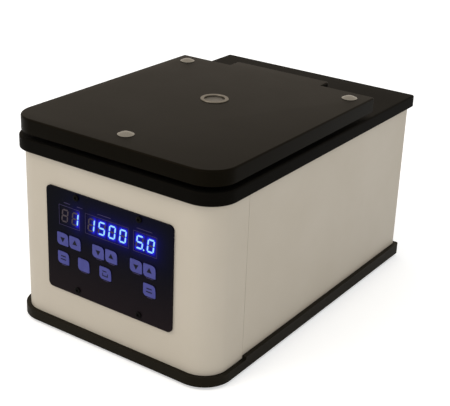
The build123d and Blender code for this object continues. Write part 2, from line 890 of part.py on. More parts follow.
with BuildPart() as lid_plate:
    with BuildSketch(Plane.XY.offset(lid_z)):
        add(plate_outline)
        with Locations((0, spin_y)):
            Circle(port_sight, mode=Mode.SUBTRACT)
        with Locations(*domes):
            Circle(dome_shank + screw_clearance, mode=Mode.SUBTRACT)
        with Locations(*striker_screws_at):
            Circle(small_screw_radius + screw_clearance, mode=Mode.SUBTRACT)
    extrude(amount=lid_plate_thick)
lid_plate.part.label = "lid_plate"
export_step(lid_plate.part, "parts/lid_plate.step")

# Three dome-headed bolts that clamp the plate to the cover
dome_sphere = (dome_radius**2 + dome_height**2) / (2 * dome_height)
with BuildPart() as lid_bolts:
    for x, y in domes:
        with BuildSketch(Plane.XZ.offset(-y)):
            with BuildLine():
                RadiusArc((x + dome_radius, lid_top), (x, lid_top + dome_height), -dome_sphere)
                Polyline(
                    (x, lid_top + dome_height),
                    (x, lid_z),
                    (x + dome_shank, lid_z),
                    (x + dome_shank, lid_top),
                    (x + dome_radius, lid_top),
                )
            make_face()
        revolve(axis=Axis((x, y, 0), (0, 0, 1)))
lid_bolts.part.label = "lid_bolts"
export_step(lid_bolts.part, "parts/lid_bolts.step")

# Viewing port: a clear window under a raised metal ring
with BuildPart() as port_window:
    with BuildSketch(Plane.XY.offset(window_z)):
        with Locations((0, spin_y)):
            Circle(port_sight + window_lip - screw_clearance)
    extrude(amount=window_thick)
port_window.part.label = "port_window"
export_step(port_window.part, "parts/port_window.step")

with BuildPart() as port_ring:
    with BuildSketch(Plane.XY.offset(lid_top - port_sink)):
        with Locations((0, spin_y)):
            Circle(port_radius)
            Circle(port_sight, mode=Mode.SUBTRACT)
    extrude(amount=port_sink + port_rise)
    chamfer(port_ring.faces().sort_by(Axis.Z)[-1].edges(), port_rise / 2)
port_ring.part.label = "port_ring"
export_step(port_ring.part, "parts/port_ring.step")

# Striker: a bent steel bracket with a window for the latch bolt
striker_foot_y = striker_y - striker_thick / 2
striker_low = lid_z - striker_depth
latch_z = striker_low + latch_window
with BuildPart() as striker:
    with BuildSketch(Plane.XY.offset(lid_z - striker_thick)):
        with Locations((0, striker_foot_y)):
            Rectangle(
                striker_flange_width, striker_flange_length, align=(Align.CENTER, Align.MIN)
            )
        with Locations(*striker_screws_at):
            Circle(small_screw_radius + screw_clearance, mode=Mode.SUBTRACT)
    extrude(amount=striker_thick)
    with BuildSketch(Plane.XZ.offset(-striker_foot_y)):
        with Locations((0, striker_low)):
            Rectangle(striker_width, striker_depth, align=(Align.CENTER, Align.MIN))
        with Locations((0, latch_z)):
            Rectangle(latch_window, latch_window, mode=Mode.SUBTRACT)
    extrude(amount=-striker_thick)
striker.part.label = "striker"
export_step(striker.part, "parts/striker.step")

with BuildPart() as striker_screws:
    with BuildSketch(Plane.XY.offset(lid_z - striker_thick)):
        with Locations(*striker_screws_at):
            Circle(small_screw_radius)
    extrude(amount=striker_thick + lid_plate_thick)
    with BuildSketch(Plane.XY.offset(lid_z - striker_thick - small_screw_radius / 2)):
        with Locations(*striker_screws_at):
            Circle(screw_head(small_screw_radius))
    extrude(amount=small_screw_radius / 2)
striker_screws.part.label = "striker_screws"
export_step(striker_screws.part, "parts/striker_screws.step")

# Fixed-angle rotor: a dished body whose tube holes lean in towards the hub
hub_top = rotor_z + hub_height
tube_slope = radians(tube_angle)
dish_foot = tube_mouth_radius - (tube_mouth_height - rotor_floor_height) / tan(tube_slope)
dish_rim = tube_mouth_radius + (rotor_height - tube_mouth_height) / tan(tube_slope)
rotor_bore = spindle_radius + spindle_clearance

with BuildPart() as rotor:
    with BuildSketch(spin_plane):
        with BuildLine():
            Polyline(
                (rotor_bore, rotor_z),
                (hub_radius, rotor_z),
                (hub_radius + rotor_dish_draft, rotor_z + rotor_dish),
                (rotor_dish_radius - rotor_dish_draft, rotor_z + rotor_dish),
                (rotor_dish_radius, rotor_z),
                (rotor_radius - rotor_chamfer, rotor_z),
                (rotor_radius, rotor_z + rotor_chamfer),
                (rotor_radius, rotor_z + rotor_shoulder),
                (dish_rim + rotor_rim, rotor_z + rotor_height),
                (dish_rim, rotor_z + rotor_height),
                (dish_foot, rotor_z + rotor_floor_height),
                (hub_radius, rotor_z + rotor_floor_height),
                (hub_radius, hub_top),
                (rotor_bore, hub_top),
                close=True,
            )
        make_face()
    revolve(axis=spin_axis)
    with Locations((0, spin_y, rotor_z + tube_mouth_height + tube_hole_radius * cos(tube_slope))):
        with PolarLocations(tube_mouth_radius - tube_hole_radius * sin(tube_slope), tube_count):
            Cylinder(
                tube_hole_radius,
                tube_hole_depth + tube_hole_radius,
                rotation=(0, 180 - tube_angle, 0),
                align=(Align.CENTER, Align.CENTER, Align.MIN),
                mode=Mode.SUBTRACT,
            )
rotor.part.label = "rotor"
export_step(rotor.part, "parts/rotor.step")

# Rotor nut: a hand nut on the spindle's stud
stud_radius = spindle_radius / 2
stud_height = nut_height - 3 * stud_radius / 4
with BuildPart() as rotor_nut:
    with BuildSketch(Plane.XY.offset(hub_top)):
        with Locations((0, spin_y)):
            RegularPolygon(nut_radius, 12)
    extrude(amount=nut_height)
    chamfer(rotor_nut.faces().sort_by(Axis.Z)[-1].edges(), stud_radius / 2)
    with BuildSketch(Plane.XY.offset(hub_top)):
        with Locations((0, spin_y)):
            Circle(stud_radius + spindle_clearance)
    extrude(amount=stud_height + spindle_clearance, mode=Mode.SUBTRACT)
rotor_nut.part.label = "rotor_nut"
export_step(rotor_nut.part, "parts/rotor_nut.step")

# Motor shaft: runs in two bearings and ends in a seat, a spindle and a stud
shaft_low = motor_z + motor_floor + running_clearance
with BuildPart() as motor_shaft:
    with BuildSketch(spin_plane):
        with BuildLine():
            Polyline(
                (0, shaft_low),
                (shaft_radius, shaft_low),
                (shaft_radius, rotor_z - seat_thick),
                (seat_radius, rotor_z - seat_thick),
                (seat_radius, rotor_z),
                (spindle_radius, rotor_z),
                (spindle_radius, hub_top),
                (stud_radius, hub_top),
                (stud_radius, hub_top + stud_height),
                (0, hub_top + stud_height),
                close=True,
            )
        make_face()
    revolve(axis=spin_axis)
motor_shaft.part.label = "motor_shaft"
export_step(motor_shaft.part, "parts/motor_shaft.step")

# Magnet rotor pressed on the shaft inside the stator
magnet_low = motor_z + motor_floor + bearing_height + magnet_end_gap
magnet_high = cap_z - magnet_end_gap
with BuildPart() as magnet_rotor:
    with BuildSketch(Plane.XY.offset(magnet_low)):
        with Locations((0, spin_y)):
            Circle(magnet_radius)
            Circle(shaft_radius, mode=Mode.SUBTRACT)
    extrude(amount=magnet_high - magnet_low)
magnet_rotor.part.label = "magnet_rotor"
export_step(magnet_rotor.part, "parts/magnet_rotor.step")

# Motor housing: a cup with a seat for the lower bearing
motor_bore = motor_radius - motor_wall
motor_inside = motor_z + motor_floor
bearing_seat = bearing_radius + motor_wall
with BuildPart() as motor_housing:
    with BuildSketch(spin_plane):
        with BuildLine():
            Polyline(
                (0, motor_z),
                (motor_radius, motor_z),
                (motor_radius, cap_z),
                (motor_bore, cap_z),
                (motor_bore, motor_inside),
                (bearing_seat, motor_inside),
                (bearing_seat, motor_inside + bearing_height),
                (bearing_radius, motor_inside + bearing_height),
                (bearing_radius, motor_inside),
                (0, motor_inside),
                close=True,
            )
        make_face()
    revolve(axis=spin_axis)
    with BuildSketch(Plane.XY.offset(motor_z)):
        with Locations((0, spin_y)):
            with PolarLocations(motor_screw_circle_radius, 4, start_angle=45):
                Circle(large_screw_radius + screw_clearance)
    extrude(amount=motor_floor, mode=Mode.SUBTRACT)
motor_housing.part.label = "motor_housing"
export_step(motor_housing.part, "parts/motor_housing.step")

# Motor cap: closes the cup and holds the upper bearing
with BuildPart() as motor_cap:
    with BuildSketch(spin_plane):
        with BuildLine():
            Polyline(
                (motor_radius, cap_z),
                (motor_radius, motor_top),
                (shaft_radius + cap_shaft_gap, motor_top),
                (shaft_radius + cap_shaft_gap, cap_z + bearing_height),
                (bearing_radius, cap_z + bearing_height),
                (bearing_radius, cap_z),
                close=True,
            )
        make_face()
    revolve(axis=spin_axis)
motor_cap.part.label = "motor_cap"
export_step(motor_cap.part, "parts/motor_cap.step")

# Two bearings, with a running fit on the shaft
with BuildPart() as bearings:
    for level in (motor_inside, cap_z):
        with BuildSketch(Plane.XY.offset(level)):
            with Locations((0, spin_y)):
                Circle(bearing_radius)
                Circle(shaft_radius + running_clearance, mode=Mode.SUBTRACT)
        extrude(amount=bearing_height)
bearings.part.label = "bearings"
export_step(bearings.part, "parts/bearings.step")

# Stator ring inside the cup
with BuildPart() as stator:
    with BuildSketch(Plane.XY.offset(magnet_low)):
        with Locations((0, spin_y)):
            Circle(motor_bore)
            Circle(magnet_radius + stator_gap, mode=Mode.SUBTRACT)
    extrude(amount=magnet_high - magnet_low)
stator.part.label = "stator"
export_step(stator.part, "parts/stator.step")

# Motor plate: a three-armed spider on rubber mounts
mounts_at = [
    (mount_circle_radius * cos(radians(angle)), spin_y + mount_circle_radius * sin(radians(angle)))
    for angle in (90, 210, 330)
]
with BuildPart() as motor_plate:
    with BuildSketch(Plane.XY.offset(plate_z)):
        with Locations((0, spin_y)):
            Circle(motor_radius + mount_radius / 2)
            with PolarLocations(mount_circle_radius / 2, 3, start_angle=90):
                Rectangle(mount_circle_radius, 2 * mount_radius)
            with PolarLocations(mount_circle_radius, 3, start_angle=90):
                Circle(mount_radius)
            with PolarLocations(motor_screw_circle_radius, 4, start_angle=45):
                Circle(large_screw_radius + screw_clearance, mode=Mode.SUBTRACT)
    extrude(amount=plate_thick)
motor_plate.part.label = "motor_plate"
export_step(motor_plate.part, "parts/motor_plate.step")

# Rubber mounts, waisted between their end pads
with BuildPart() as vibration_mounts:
    for x, y in mounts_at:
        with BuildSketch(Plane.XZ.offset(-y)):
            with BuildLine():
                Polyline(
                    (x + mount_radius, plate_z - mount_pad),
                    (x + mount_radius, plate_z),
                    (x, plate_z),
                    (x, floor_z),
                    (x + mount_radius, floor_z),
                    (x + mount_radius, floor_z + mount_pad),
                    (x + mount_radius - mount_waist, floor_z + mount_pad + mount_waist),
                    (x + mount_radius - mount_waist, plate_z - mount_pad - mount_waist),
                    close=True,
                )
            make_face()
        revolve(axis=Axis((x, y, 0), (0, 0, 1)))
vibration_mounts.part.label = "vibration_mounts"
export_step(vibration_mounts.part, "parts/vibration_mounts.step")

# Screws up through the plate into the motor's floor
with BuildPart() as motor_screws:
    with BuildSketch(Plane.XY.offset(plate_z - large_screw_radius)):
        with Locations((0, spin_y)):
            with PolarLocations(motor_screw_circle_radius, 4, start_angle=45):
                Circle(screw_head(large_screw_radius))
    extrude(amount=large_screw_radius)
    with BuildSketch(Plane.XY.offset(plate_z)):
        with Locations((0, spin_y)):
            with PolarLocations(motor_screw_circle_radius, 4, start_angle=45):
                Circle(large_screw_radius)
    extrude(amount=plate_thick + motor_floor)
motor_screws.part.label = "motor_screws"
export_step(motor_screws.part, "parts/motor_screws.step")

# Rubber boot between the motor cap and the bowl's collar
boot_outer = collar_radius - screw_clearance
boot_inner = boot_outer - boot_wall
boot_bend = bowl_floor - bowl_wall
with BuildPart() as shaft_boot:
    with BuildSketch(spin_plane):
        with BuildLine():
            Polyline(
                (boot_foot, motor_top),
                (boot_inner, motor_top),
                (boot_outer, boot_bend),
                (boot_outer, bowl_floor + collar_height),
                (boot_inner, bowl_floor + collar_height),
                (boot_inner, boot_bend + boot_wall),
                (boot_foot, boot_bend + boot_wall / 2),
                close=True,
            )
        make_face()
    revolve(axis=spin_axis)
shaft_boot.part.label = "shaft_boot"
export_step(shaft_boot.part, "parts/shaft_boot.step")

# Hinge bracket under the deck, with two ears up through it
with BuildPart() as hinge_bracket:
    with BuildSketch(Plane.XY.offset(hinge_plate_z)):
        with Locations((0, hinge_y - hinge_plate_front)):
            Rectangle(
                2 * hinge_plate_x,
                hinge_plate_front + hinge_plate_rear,
                align=(Align.CENTER, Align.MIN),
            )
        with Locations(*hinge_screws_at):
            Circle(medium_screw_radius + screw_clearance, mode=Mode.SUBTRACT)
    extrude(amount=hinge_plate_thick)
    for x in (-ear_x, ear_x):
        with BuildSketch(Plane.YZ.offset(x - ear_width / 2)):
            with Locations((hinge_y, hinge_z)):
                Circle(ear_radius)
            with Locations((hinge_y, hinge_plate_z)):
                Rectangle(
                    2 * ear_radius, hinge_z - hinge_plate_z, align=(Align.CENTER, Align.MIN)
                )
            with Locations((hinge_y, hinge_z)):
                Circle(pin_radius + pin_seat, mode=Mode.SUBTRACT)
        extrude(amount=ear_width)
hinge_bracket.part.label = "hinge_bracket"
export_step(hinge_bracket.part, "parts/hinge_bracket.step")

with BuildPart() as hinge_pin:
    with BuildSketch(Plane.YZ.offset(pin_inset - tongue_width / 2)):
        with Locations((hinge_y, hinge_z)):
            Circle(pin_radius)
    extrude(amount=tongue_width - 2 * pin_inset)
hinge_pin.part.label = "hinge_pin"
export_step(hinge_pin.part, "parts/hinge_pin.step")

# Latch bracket: a flanged channel under the deck with a guide wall for the bolt
with BuildPart() as latch_bracket:
    with BuildSketch(Plane.XZ.offset(-bracket_rear)):
        with Locations((0, bracket_low)):
            Rectangle(2 * bracket_half, bracket_depth, align=(Align.CENTER, Align.MIN))
        with Locations((0, bracket_low + bracket_sheet)):
            Rectangle(
                2 * (bracket_half - bracket_sheet),
                bracket_depth,
                align=(Align.CENTER, Align.MIN),
                mode=Mode.SUBTRACT,
            )
        for side in (-1, 1):
            with Locations((side * (bracket_half + bracket_flange / 2), deck_z)):
                Rectangle(bracket_flange, bracket_sheet, align=(Align.CENTER, Align.MAX))
    extrude(amount=bracket_length)
    with BuildSketch(Plane.XZ.offset(-guide_y - bracket_sheet)):
        with Locations((0, bracket_low)):
            Rectangle(
                2 * bracket_half, bracket_depth - bracket_sheet, align=(Align.CENTER, Align.MIN)
            )
        with Locations((0, latch_z)):
            Circle(bolt_radius + bolt_clearance, mode=Mode.SUBTRACT)
    extrude(amount=bracket_sheet)
    with BuildSketch(Plane.XY.offset(deck_z - bracket_sheet)):
        with Locations(*latch_screws_at):
            Circle(small_screw_radius + screw_clearance)
    extrude(amount=bracket_sheet, mode=Mode.SUBTRACT)
latch_bracket.part.label = "latch_bracket"
export_step(latch_bracket.part, "parts/latch_bracket.step")

# Solenoid on the bracket's floor, bored for the bolt
solenoid_low = bracket_low + bracket_sheet
with BuildPart() as latch_solenoid:
    with BuildSketch(Plane.XZ.offset(-bracket_rear)):
        with Locations((0, solenoid_low)):
            Rectangle(
                2 * solenoid_half,
                2 * (latch_z - solenoid_low),
                align=(Align.CENTER, Align.MIN),
            )
        with Locations((0, latch_z)):
            Circle(bolt_radius + bolt_clearance, mode=Mode.SUBTRACT)
    extrude(amount=solenoid_length)
latch_solenoid.part.label = "latch_solenoid"
export_step(latch_solenoid.part, "parts/latch_solenoid.step")

# Latch bolt: drawn here withdrawn, clear of the striker
bolt_length = bracket_sheet + solenoid_stand + 2 * solenoid_length / 3
with BuildPart() as latch_bolt:
    with BuildSketch(Plane.XZ.offset(-guide_y - bolt_length)):
        with Locations((0, latch_z)):
            Circle(bolt_radius)
    extrude(amount=bolt_length)
latch_bolt.part.label = "latch_bolt"
export_step(latch_bolt.part, "parts/latch_bolt.step")

# Mains inlet: a flanged body with a shaped socket above a slot for the fuse drawer
inlet_face = case_y + inlet_flange
socket_z = inlet_z + socket_rise
drawer_z = inlet_z - drawer_drop
with BuildSketch() as socket_outline:
    Rectangle(socket_width, socket_height)
    chamfer(socket_outline.vertices().group_by(Axis.Y)[-1], socket_cut)

with BuildPart() as power_inlet:
    with BuildSketch(rear_plane):
        with Locations((inlet_x, inlet_z)):
            RectangleRounded(inlet_flange_width, inlet_flange_height, inlet_flange)
    extrude(amount=-inlet_flange)
    with BuildSketch(rear_plane):
        with Locations((inlet_x, inlet_z)):
            Rectangle(inlet_width, inlet_height)
    extrude(amount=inlet_depth)
    with BuildSketch(Plane.XZ.offset(-inlet_face)):
        with Locations((inlet_x, socket_z)):
            add(socket_outline.sketch)
    extrude(amount=socket_depth, mode=Mode.SUBTRACT)
    with BuildSketch(Plane.XZ.offset(-inlet_face)):
        with Locations((inlet_x, drawer_z)):
            Rectangle(drawer_width, drawer_height)
    extrude(amount=drawer_depth + drawer_gap, mode=Mode.SUBTRACT)
    with BuildSketch(Plane.XZ.offset(-inlet_face)):
        with Locations(*inlet_screws_at):
            Circle(small_screw_radius + screw_clearance)
    extrude(amount=inlet_flange, mode=Mode.SUBTRACT)
power_inlet.part.label = "power_inlet"
export_step(power_inlet.part, "parts/power_inlet.step")

# Three contact blades in the socket
blades_at = [
    (inlet_x - blade_pitch / 2, socket_z - blade_height / 4),
    (inlet_x + blade_pitch / 2, socket_z - blade_height / 4),
    (inlet_x, socket_z + 3 * blade_height / 4),
]
with BuildPart() as inlet_blades:
    with BuildSketch(Plane.XZ.offset(socket_depth - inlet_face)):
        with Locations(*blades_at):
            Rectangle(blade_width, blade_height)
    extrude(amount=-blade_length)
inlet_blades.part.label = "inlet_blades"
export_step(inlet_blades.part, "parts/inlet_blades.step")

# Small screws: four up into the deck for the latch, two through the inlet's flange
with BuildPart() as small_screws:
    with BuildSketch(Plane.XY.offset(deck_z - bracket_sheet - small_screw_radius)):
        with Locations(*latch_screws_at):
            Circle(screw_head(small_screw_radius))
    extrude(amount=small_screw_radius)
    with BuildSketch(Plane.XY.offset(deck_z - bracket_sheet)):
        with Locations(*latch_screws_at):
            Circle(small_screw_radius)
    extrude(amount=bracket_sheet + latch_screw_grip)
    with BuildSketch(Plane.XZ.offset(-inlet_face)):
        with Locations(*inlet_screws_at):
            Circle(screw_head(small_screw_radius))
    extrude(amount=-small_screw_radius / 2)
    with BuildSketch(Plane.XZ.offset(-inlet_face)):
        with Locations(*inlet_screws_at):
            Circle(small_screw_radius)
    extrude(amount=inlet_flange + sheet + small_screw_radius)
small_screws.part.label = "small_screws"
export_step(small_screws.part, "parts/small_screws.step")

# Fuse drawer: a trough behind a small face
fuse_length = drawer_depth - 2 * fuse_end_gap
with BuildPart() as fuse_drawer:
    with BuildSketch(Plane.XZ.offset(-inlet_face)):
        with Locations((inlet_x, drawer_z)):
            Rectangle(drawer_width - 2 * drawer_gap, drawer_height - 2 * drawer_gap)
    extrude(amount=drawer_depth)
    with BuildSketch(Plane.XZ.offset(-inlet_face)):
        with Locations((inlet_x, drawer_z)):
            Rectangle(drawer_width + drawer_face, drawer_height + drawer_face)
    extrude(amount=-drawer_face)
    with BuildSketch(Plane.XY.offset(drawer_z)):
        with Locations((inlet_x, inlet_face - drawer_depth / 2)):
            Rectangle(2 * (fuse_radius + drawer_gap), fuse_length + drawer_gap)
    extrude(amount=drawer_height, mode=Mode.SUBTRACT)
    with BuildSketch(Plane.XZ.offset(-inlet_face + (drawer_depth - fuse_length) / 2)):
        with Locations((inlet_x, drawer_z)):
            Circle(fuse_radius + drawer_gap)
    extrude(amount=fuse_length, mode=Mode.SUBTRACT)
fuse_drawer.part.label = "fuse_drawer"
export_step(fuse_drawer.part, "parts/fuse_drawer.step")

with BuildPart() as fuse:
    with BuildSketch(Plane.XZ.offset(-inlet_face + (drawer_depth - fuse_length) / 2)):
        with Locations((inlet_x, drawer_z)):
            Circle(fuse_radius)
    extrude(amount=fuse_length)
fuse.part.label = "fuse"
export_step(fuse.part, "parts/fuse.step")

# Power switch: a frame through the rear wall and a rocker on its cross axis
with BuildPart() as switch_frame:
    with BuildSketch(rear_plane):
        with Locations((power_x, power_z)):
            Rectangle(power_flange_width, power_flange_height)
    extrude(amount=-power_flange)
    with BuildSketch(rear_plane):
        with Locations((power_x, power_z)):
            Rectangle(rocker_width + 4 * rocker_gap, 2 * rocker_half + 4 * rocker_gap)
    extrude(amount=power_body_depth)
    with BuildSketch(Plane.XZ.offset(-case_y - power_flange)):
        with Locations((power_x, power_z)):
            Rectangle(rocker_width + 2 * rocker_gap, 2 * (rocker_half + rocker_gap))
    extrude(amount=power_body_depth, mode=Mode.SUBTRACT)
switch_frame.part.label = "switch_frame"
export_step(switch_frame.part, "parts/switch_frame.step")

rocker_plane = Plane(
    origin=(power_x - rocker_width / 2, case_y - rocker_axis_in, power_z),
    x_dir=(0, cos(radians(rocker_tilt)), -sin(radians(rocker_tilt))),
    z_dir=(1, 0, 0),
)
with BuildPart() as power_rocker:
    with BuildSketch(rocker_plane):
        with BuildLine():
            Polyline(
                (rocker_waist, 0),
                (rocker_tip, rocker_half),
                (-rocker_tip, rocker_half - rocker_gap),
                (-rocker_tip, rocker_gap - rocker_half),
                (rocker_tip, -rocker_half),
                close=True,
            )
        make_face()
        Circle(rocker_half / 2)
    extrude(amount=rocker_width)
    with BuildSketch(rocker_plane):
        Circle(pivot_radius)
    extrude(amount=rocker_width + pivot_length)
    with BuildSketch(rocker_plane):
        Circle(pivot_radius)
    extrude(amount=-pivot_length)
power_rocker.part.label = "power_rocker"
export_step(power_rocker.part, "parts/power_rocker.step")

# Supply board on four pillars, with a finned heat sink and two capacitors
supply_z = floor_z + supply_board_lift
supply_top = supply_z + board_thick
supply_x = case_x - supply_side_gap
supply_front_y = spin_y + mount_circle_radius + mount_radius + supply_mount_gap
supply_rear_y = case_y - inlet_depth - supply_inlet_gap
supply_mid = (supply_front_y + supply_rear_y) / 2
supply_depth = supply_rear_y - supply_front_y
sink_length = supply_depth - 2 * sink_inset
with BuildPart() as supply_board:
    with BuildSketch(Plane.XY.offset(supply_z)):
        with Locations((0, supply_mid)):
            Rectangle(2 * supply_x, supply_depth)
    extrude(amount=board_thick)
supply_board.part.label = "supply_board"
export_step(supply_board.part, "parts/supply_board.step")

# Spacers: four carry the supply board, four hold the display board off the fascia
with BuildPart() as board_spacers:
    with BuildSketch(Plane.XY.offset(floor_z)):
        with Locations((0, supply_mid)):
            with GridLocations(
                2 * (supply_x - 2 * spacer_radius), supply_depth - 4 * spacer_radius, 2, 2
            ):
                Circle(spacer_radius)
    extrude(amount=supply_board_lift)
    with BuildSketch(Plane.XZ.offset(board_face)):
        with Locations((0, board_mid)):
            with GridLocations(2 * spacer_half_x, 2 * spacer_half_z, 2, 2):
                Circle(spacer_radius)
    extrude(amount=case_y - fascia_wall - board_face)
board_spacers.part.label = "board_spacers"
export_step(board_spacers.part, "parts/board_spacers.step")

with BuildPart() as heat_sink:
    with BuildSketch(Plane.XY.offset(supply_top)):
        with Locations((-supply_x / 2, supply_mid)):
            Rectangle(sink_width, sink_length)
    extrude(amount=sink_base)
    with BuildSketch(Plane.XY.offset(supply_top + sink_base)):
        with Locations((-supply_x / 2, supply_mid)):
            with GridLocations((sink_width - sink_fin) / (sink_fins - 1), 0, sink_fins, 1):
                Rectangle(sink_fin, sink_length)
    extrude(amount=sink_height - sink_base)
heat_sink.part.label = "heat_sink"
export_step(heat_sink.part, "parts/heat_sink.step")

with BuildPart() as capacitors:
    with BuildSketch(Plane.XY.offset(supply_top)):
        with Locations((supply_x / 2, supply_mid)):
            with GridLocations(3 * capacitor_radius, 0, 2, 1):
                Circle(capacitor_radius)
    extrude(amount=capacitor_height)
capacitors.part.label = "capacitors"
export_step(capacitors.part, "parts/capacitors.step")
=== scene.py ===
"""Looks of a bench microcentrifuge: the finish of every piece and the fine pieces on its faces."""

import logging
from dataclasses import dataclass, field
from enum import Enum
from functools import cache
from math import hypot, pi, radians, tan
from typing import ClassVar, Optional

import bmesh
import bpy
from bmesh.types import BMEdge, BMesh, BMVert
from bpy.types import Material, Node, NodeSocket, NodeTree, Object
from mathutils import Matrix, Vector


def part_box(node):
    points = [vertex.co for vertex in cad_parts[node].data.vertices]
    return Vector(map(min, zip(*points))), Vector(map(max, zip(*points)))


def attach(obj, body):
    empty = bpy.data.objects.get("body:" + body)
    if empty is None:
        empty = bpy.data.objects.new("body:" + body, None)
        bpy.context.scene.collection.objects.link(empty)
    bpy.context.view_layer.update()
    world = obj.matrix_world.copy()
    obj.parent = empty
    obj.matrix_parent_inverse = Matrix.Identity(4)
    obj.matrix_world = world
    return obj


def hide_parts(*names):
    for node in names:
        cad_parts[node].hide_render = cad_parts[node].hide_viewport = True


logging.basicConfig(level=logging.INFO, format="%(message)s")
LOG = logging.getLogger("microcentrifuge")
MM = 0.001
SPIN_Y = -20 * MM
# Faces that fine pieces stand on, in millimetres
PANEL_FACE = -186.15
KEY_FACE = -187.05
LID_TOP = 217.0
# How close corners are to be one, and to lie on a cut, in metres
WELD = 2e-6
ON_PLANE = 1e-7
FLAT_BELOW = radians(0.6)
SHARP_ABOVE = 40.0
TO_FRONT = Matrix.Rotation(pi / 2, 3, "X")
ORIGIN = (0, 0, 0)

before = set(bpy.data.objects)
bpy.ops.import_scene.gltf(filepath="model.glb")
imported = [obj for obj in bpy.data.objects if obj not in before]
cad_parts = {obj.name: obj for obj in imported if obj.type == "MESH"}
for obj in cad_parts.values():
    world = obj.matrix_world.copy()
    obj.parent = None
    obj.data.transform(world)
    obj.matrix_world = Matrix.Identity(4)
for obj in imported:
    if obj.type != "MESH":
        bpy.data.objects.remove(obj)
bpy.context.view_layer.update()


# Shared tools

def linear(hex_colour: str) -> tuple[float, float, float, float]:
    """Turns an sRGB hex colour into linear light.

    Args:
        hex_colour: Six hex digits after a #.

    Returns:
        Red, green, blue and an alpha of one.
    """
    steps = [int(hex_colour[i : i + 2], 16) / 255 for i in (1, 3, 5)]
    red, green, blue = (c / 12.92 if c <= 0.04045 else ((c + 0.055) / 1.055) ** 2.4 for c in steps)
    return red, green, blue, 1.0


def add_node(
    tree: NodeTree,
    kind: str,
    settings: Optional[dict[str, object]] = None,
    values: Optional[dict[object, object]] = None,
    links: Optional[dict[object, NodeSocket]] = None,
) -> Node:
    """Adds a shader node with its settings, fixed values and links.

    Args:
        tree: The material's or world's node tree.
        kind: The node's class name.
        settings: Attributes of the node itself.
        values: Fixed values, by input name or number.
        links: Output sockets that feed this node, by input name or number.

    Returns:
        The new node.
    """
    node = tree.nodes.new(kind)
    for name, setting in (settings or {}).items():
        setattr(node, name, setting)
    for key, value in (values or {}).items():
        node.inputs[key].default_value = value
    for key, source in (links or {}).items():
        tree.links.new(source, node.inputs[key])
    return node


def merged_copy(node: str) -> BMesh:
    """Copies a CAD node's mesh, merges its corners and joins its flat triangles.

    Args:
        node: The node's name.

    Returns:
        The copy, in metres.
    """
    mesh = bmesh.new()
    mesh.from_mesh(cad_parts[node].data)
    bmesh.ops.remove_doubles(mesh, verts=mesh.verts, dist=WELD)
    bmesh.ops.dissolve_limit(mesh, angle_limit=FLAT_BELOW, verts=mesh.verts, edges=mesh.edges)
    return mesh


def gained(mesh: BMesh, before: set[BMVert]) -> list[BMVert]:
    """Lists the corners that a mesh has gained since it had those of before."""
    return [vert for vert in mesh.verts if vert not in before]


def stand_up(mesh: BMesh, verts: list[BMVert], place: tuple[float, float, float]) -> None:
    """Turns a shape that faces up so that it faces the front, and then moves it.

    Args:
        mesh: The mesh that holds the shape.
        verts: The shape's corners.
        place: How far it moves after the turn.
    """
    bmesh.ops.rotate(mesh, cent=ORIGIN, matrix=TO_FRONT, verts=verts)
    bmesh.ops.translate(mesh, vec=place, verts=verts)


def rectangle(mesh: BMesh, width: float, height: float) -> list[BMVert]:
    """Adds a flat rectangle that faces up, with its middle at the origin.

    Args:
        mesh: Where it is added.
        width: Its size along x.
        height: Its size along y.

    Returns:
        Its corners.
    """
    made = bmesh.ops.create_grid(mesh, x_segments=1, y_segments=1, size=0.5)["verts"]
    bmesh.ops.scale(mesh, vec=(width, height, 1), verts=made)
    return made


def lay_on(mesh: BMesh, face: float, lift: float, thick: float) -> None:
    """Lays flat shapes just in front of a face and gives them a thickness.

    Args:
        mesh: Flat shapes in the XZ plane, in millimetres. It ends in metres.
        face: The face's y, in millimetres.
        lift: How far in front of it the shapes lie, in millimetres.
        thick: Their thickness, in millimetres.
    """
    bmesh.ops.translate(mesh, vec=(0, face - lift, 0), verts=mesh.verts)
    bmesh.ops.scale(mesh, vec=(MM, MM, MM), verts=mesh.verts)
    bmesh.ops.solidify(mesh, geom=mesh.faces[:], thickness=-thick * MM)
    bmesh.ops.recalc_face_normals(mesh, faces=mesh.faces)


def new_piece(
    name: str,
    mesh: BMesh,
    material: Material,
    body: str,
    smooth_below: float = 35.0,
) -> Object:
    """Turns a bmesh into a piece that rides on a body.

    Args:
        name: The piece's name.
        mesh: The finished shape, in metres, in the row frame. It is freed here.
        material: The piece's finish.
        body: The body that carries the piece.
        smooth_below: Edges flatter than this many degrees are shaded smooth.

    Returns:
        The new object.
    """
    limit = radians(smooth_below)
    for face in mesh.faces:
        face.smooth = True
    for edge in mesh.edges:
        edge.smooth = len(edge.link_faces) == 2 and edge.calc_face_angle(pi) < limit
    data = bpy.data.meshes.new(name)
    mesh.to_mesh(data)
    mesh.free()
    data.materials.append(material)
    piece = bpy.data.objects.new(name, data)
    bpy.context.scene.collection.objects.link(piece)
    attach(piece, body)
    LOG.info("%s: %d faces on %s", name, len(data.polygons), body)
    return piece


def break_edges(piece: Object, width: float) -> None:
    """Takes the sharpness off a piece's edges, as paint, moulding or a file does.

    Args:
        piece: The piece.
        width: Width of the broken edge, in metres.
    """
    bevel = piece.modifiers.new("broken_edges", "BEVEL")
    bevel.width = width
    bevel.segments = 2
    bevel.limit_method = "ANGLE"
    bevel.angle_limit = radians(SHARP_ABOVE)
    bevel.harden_normals = True


# Kinds of finish

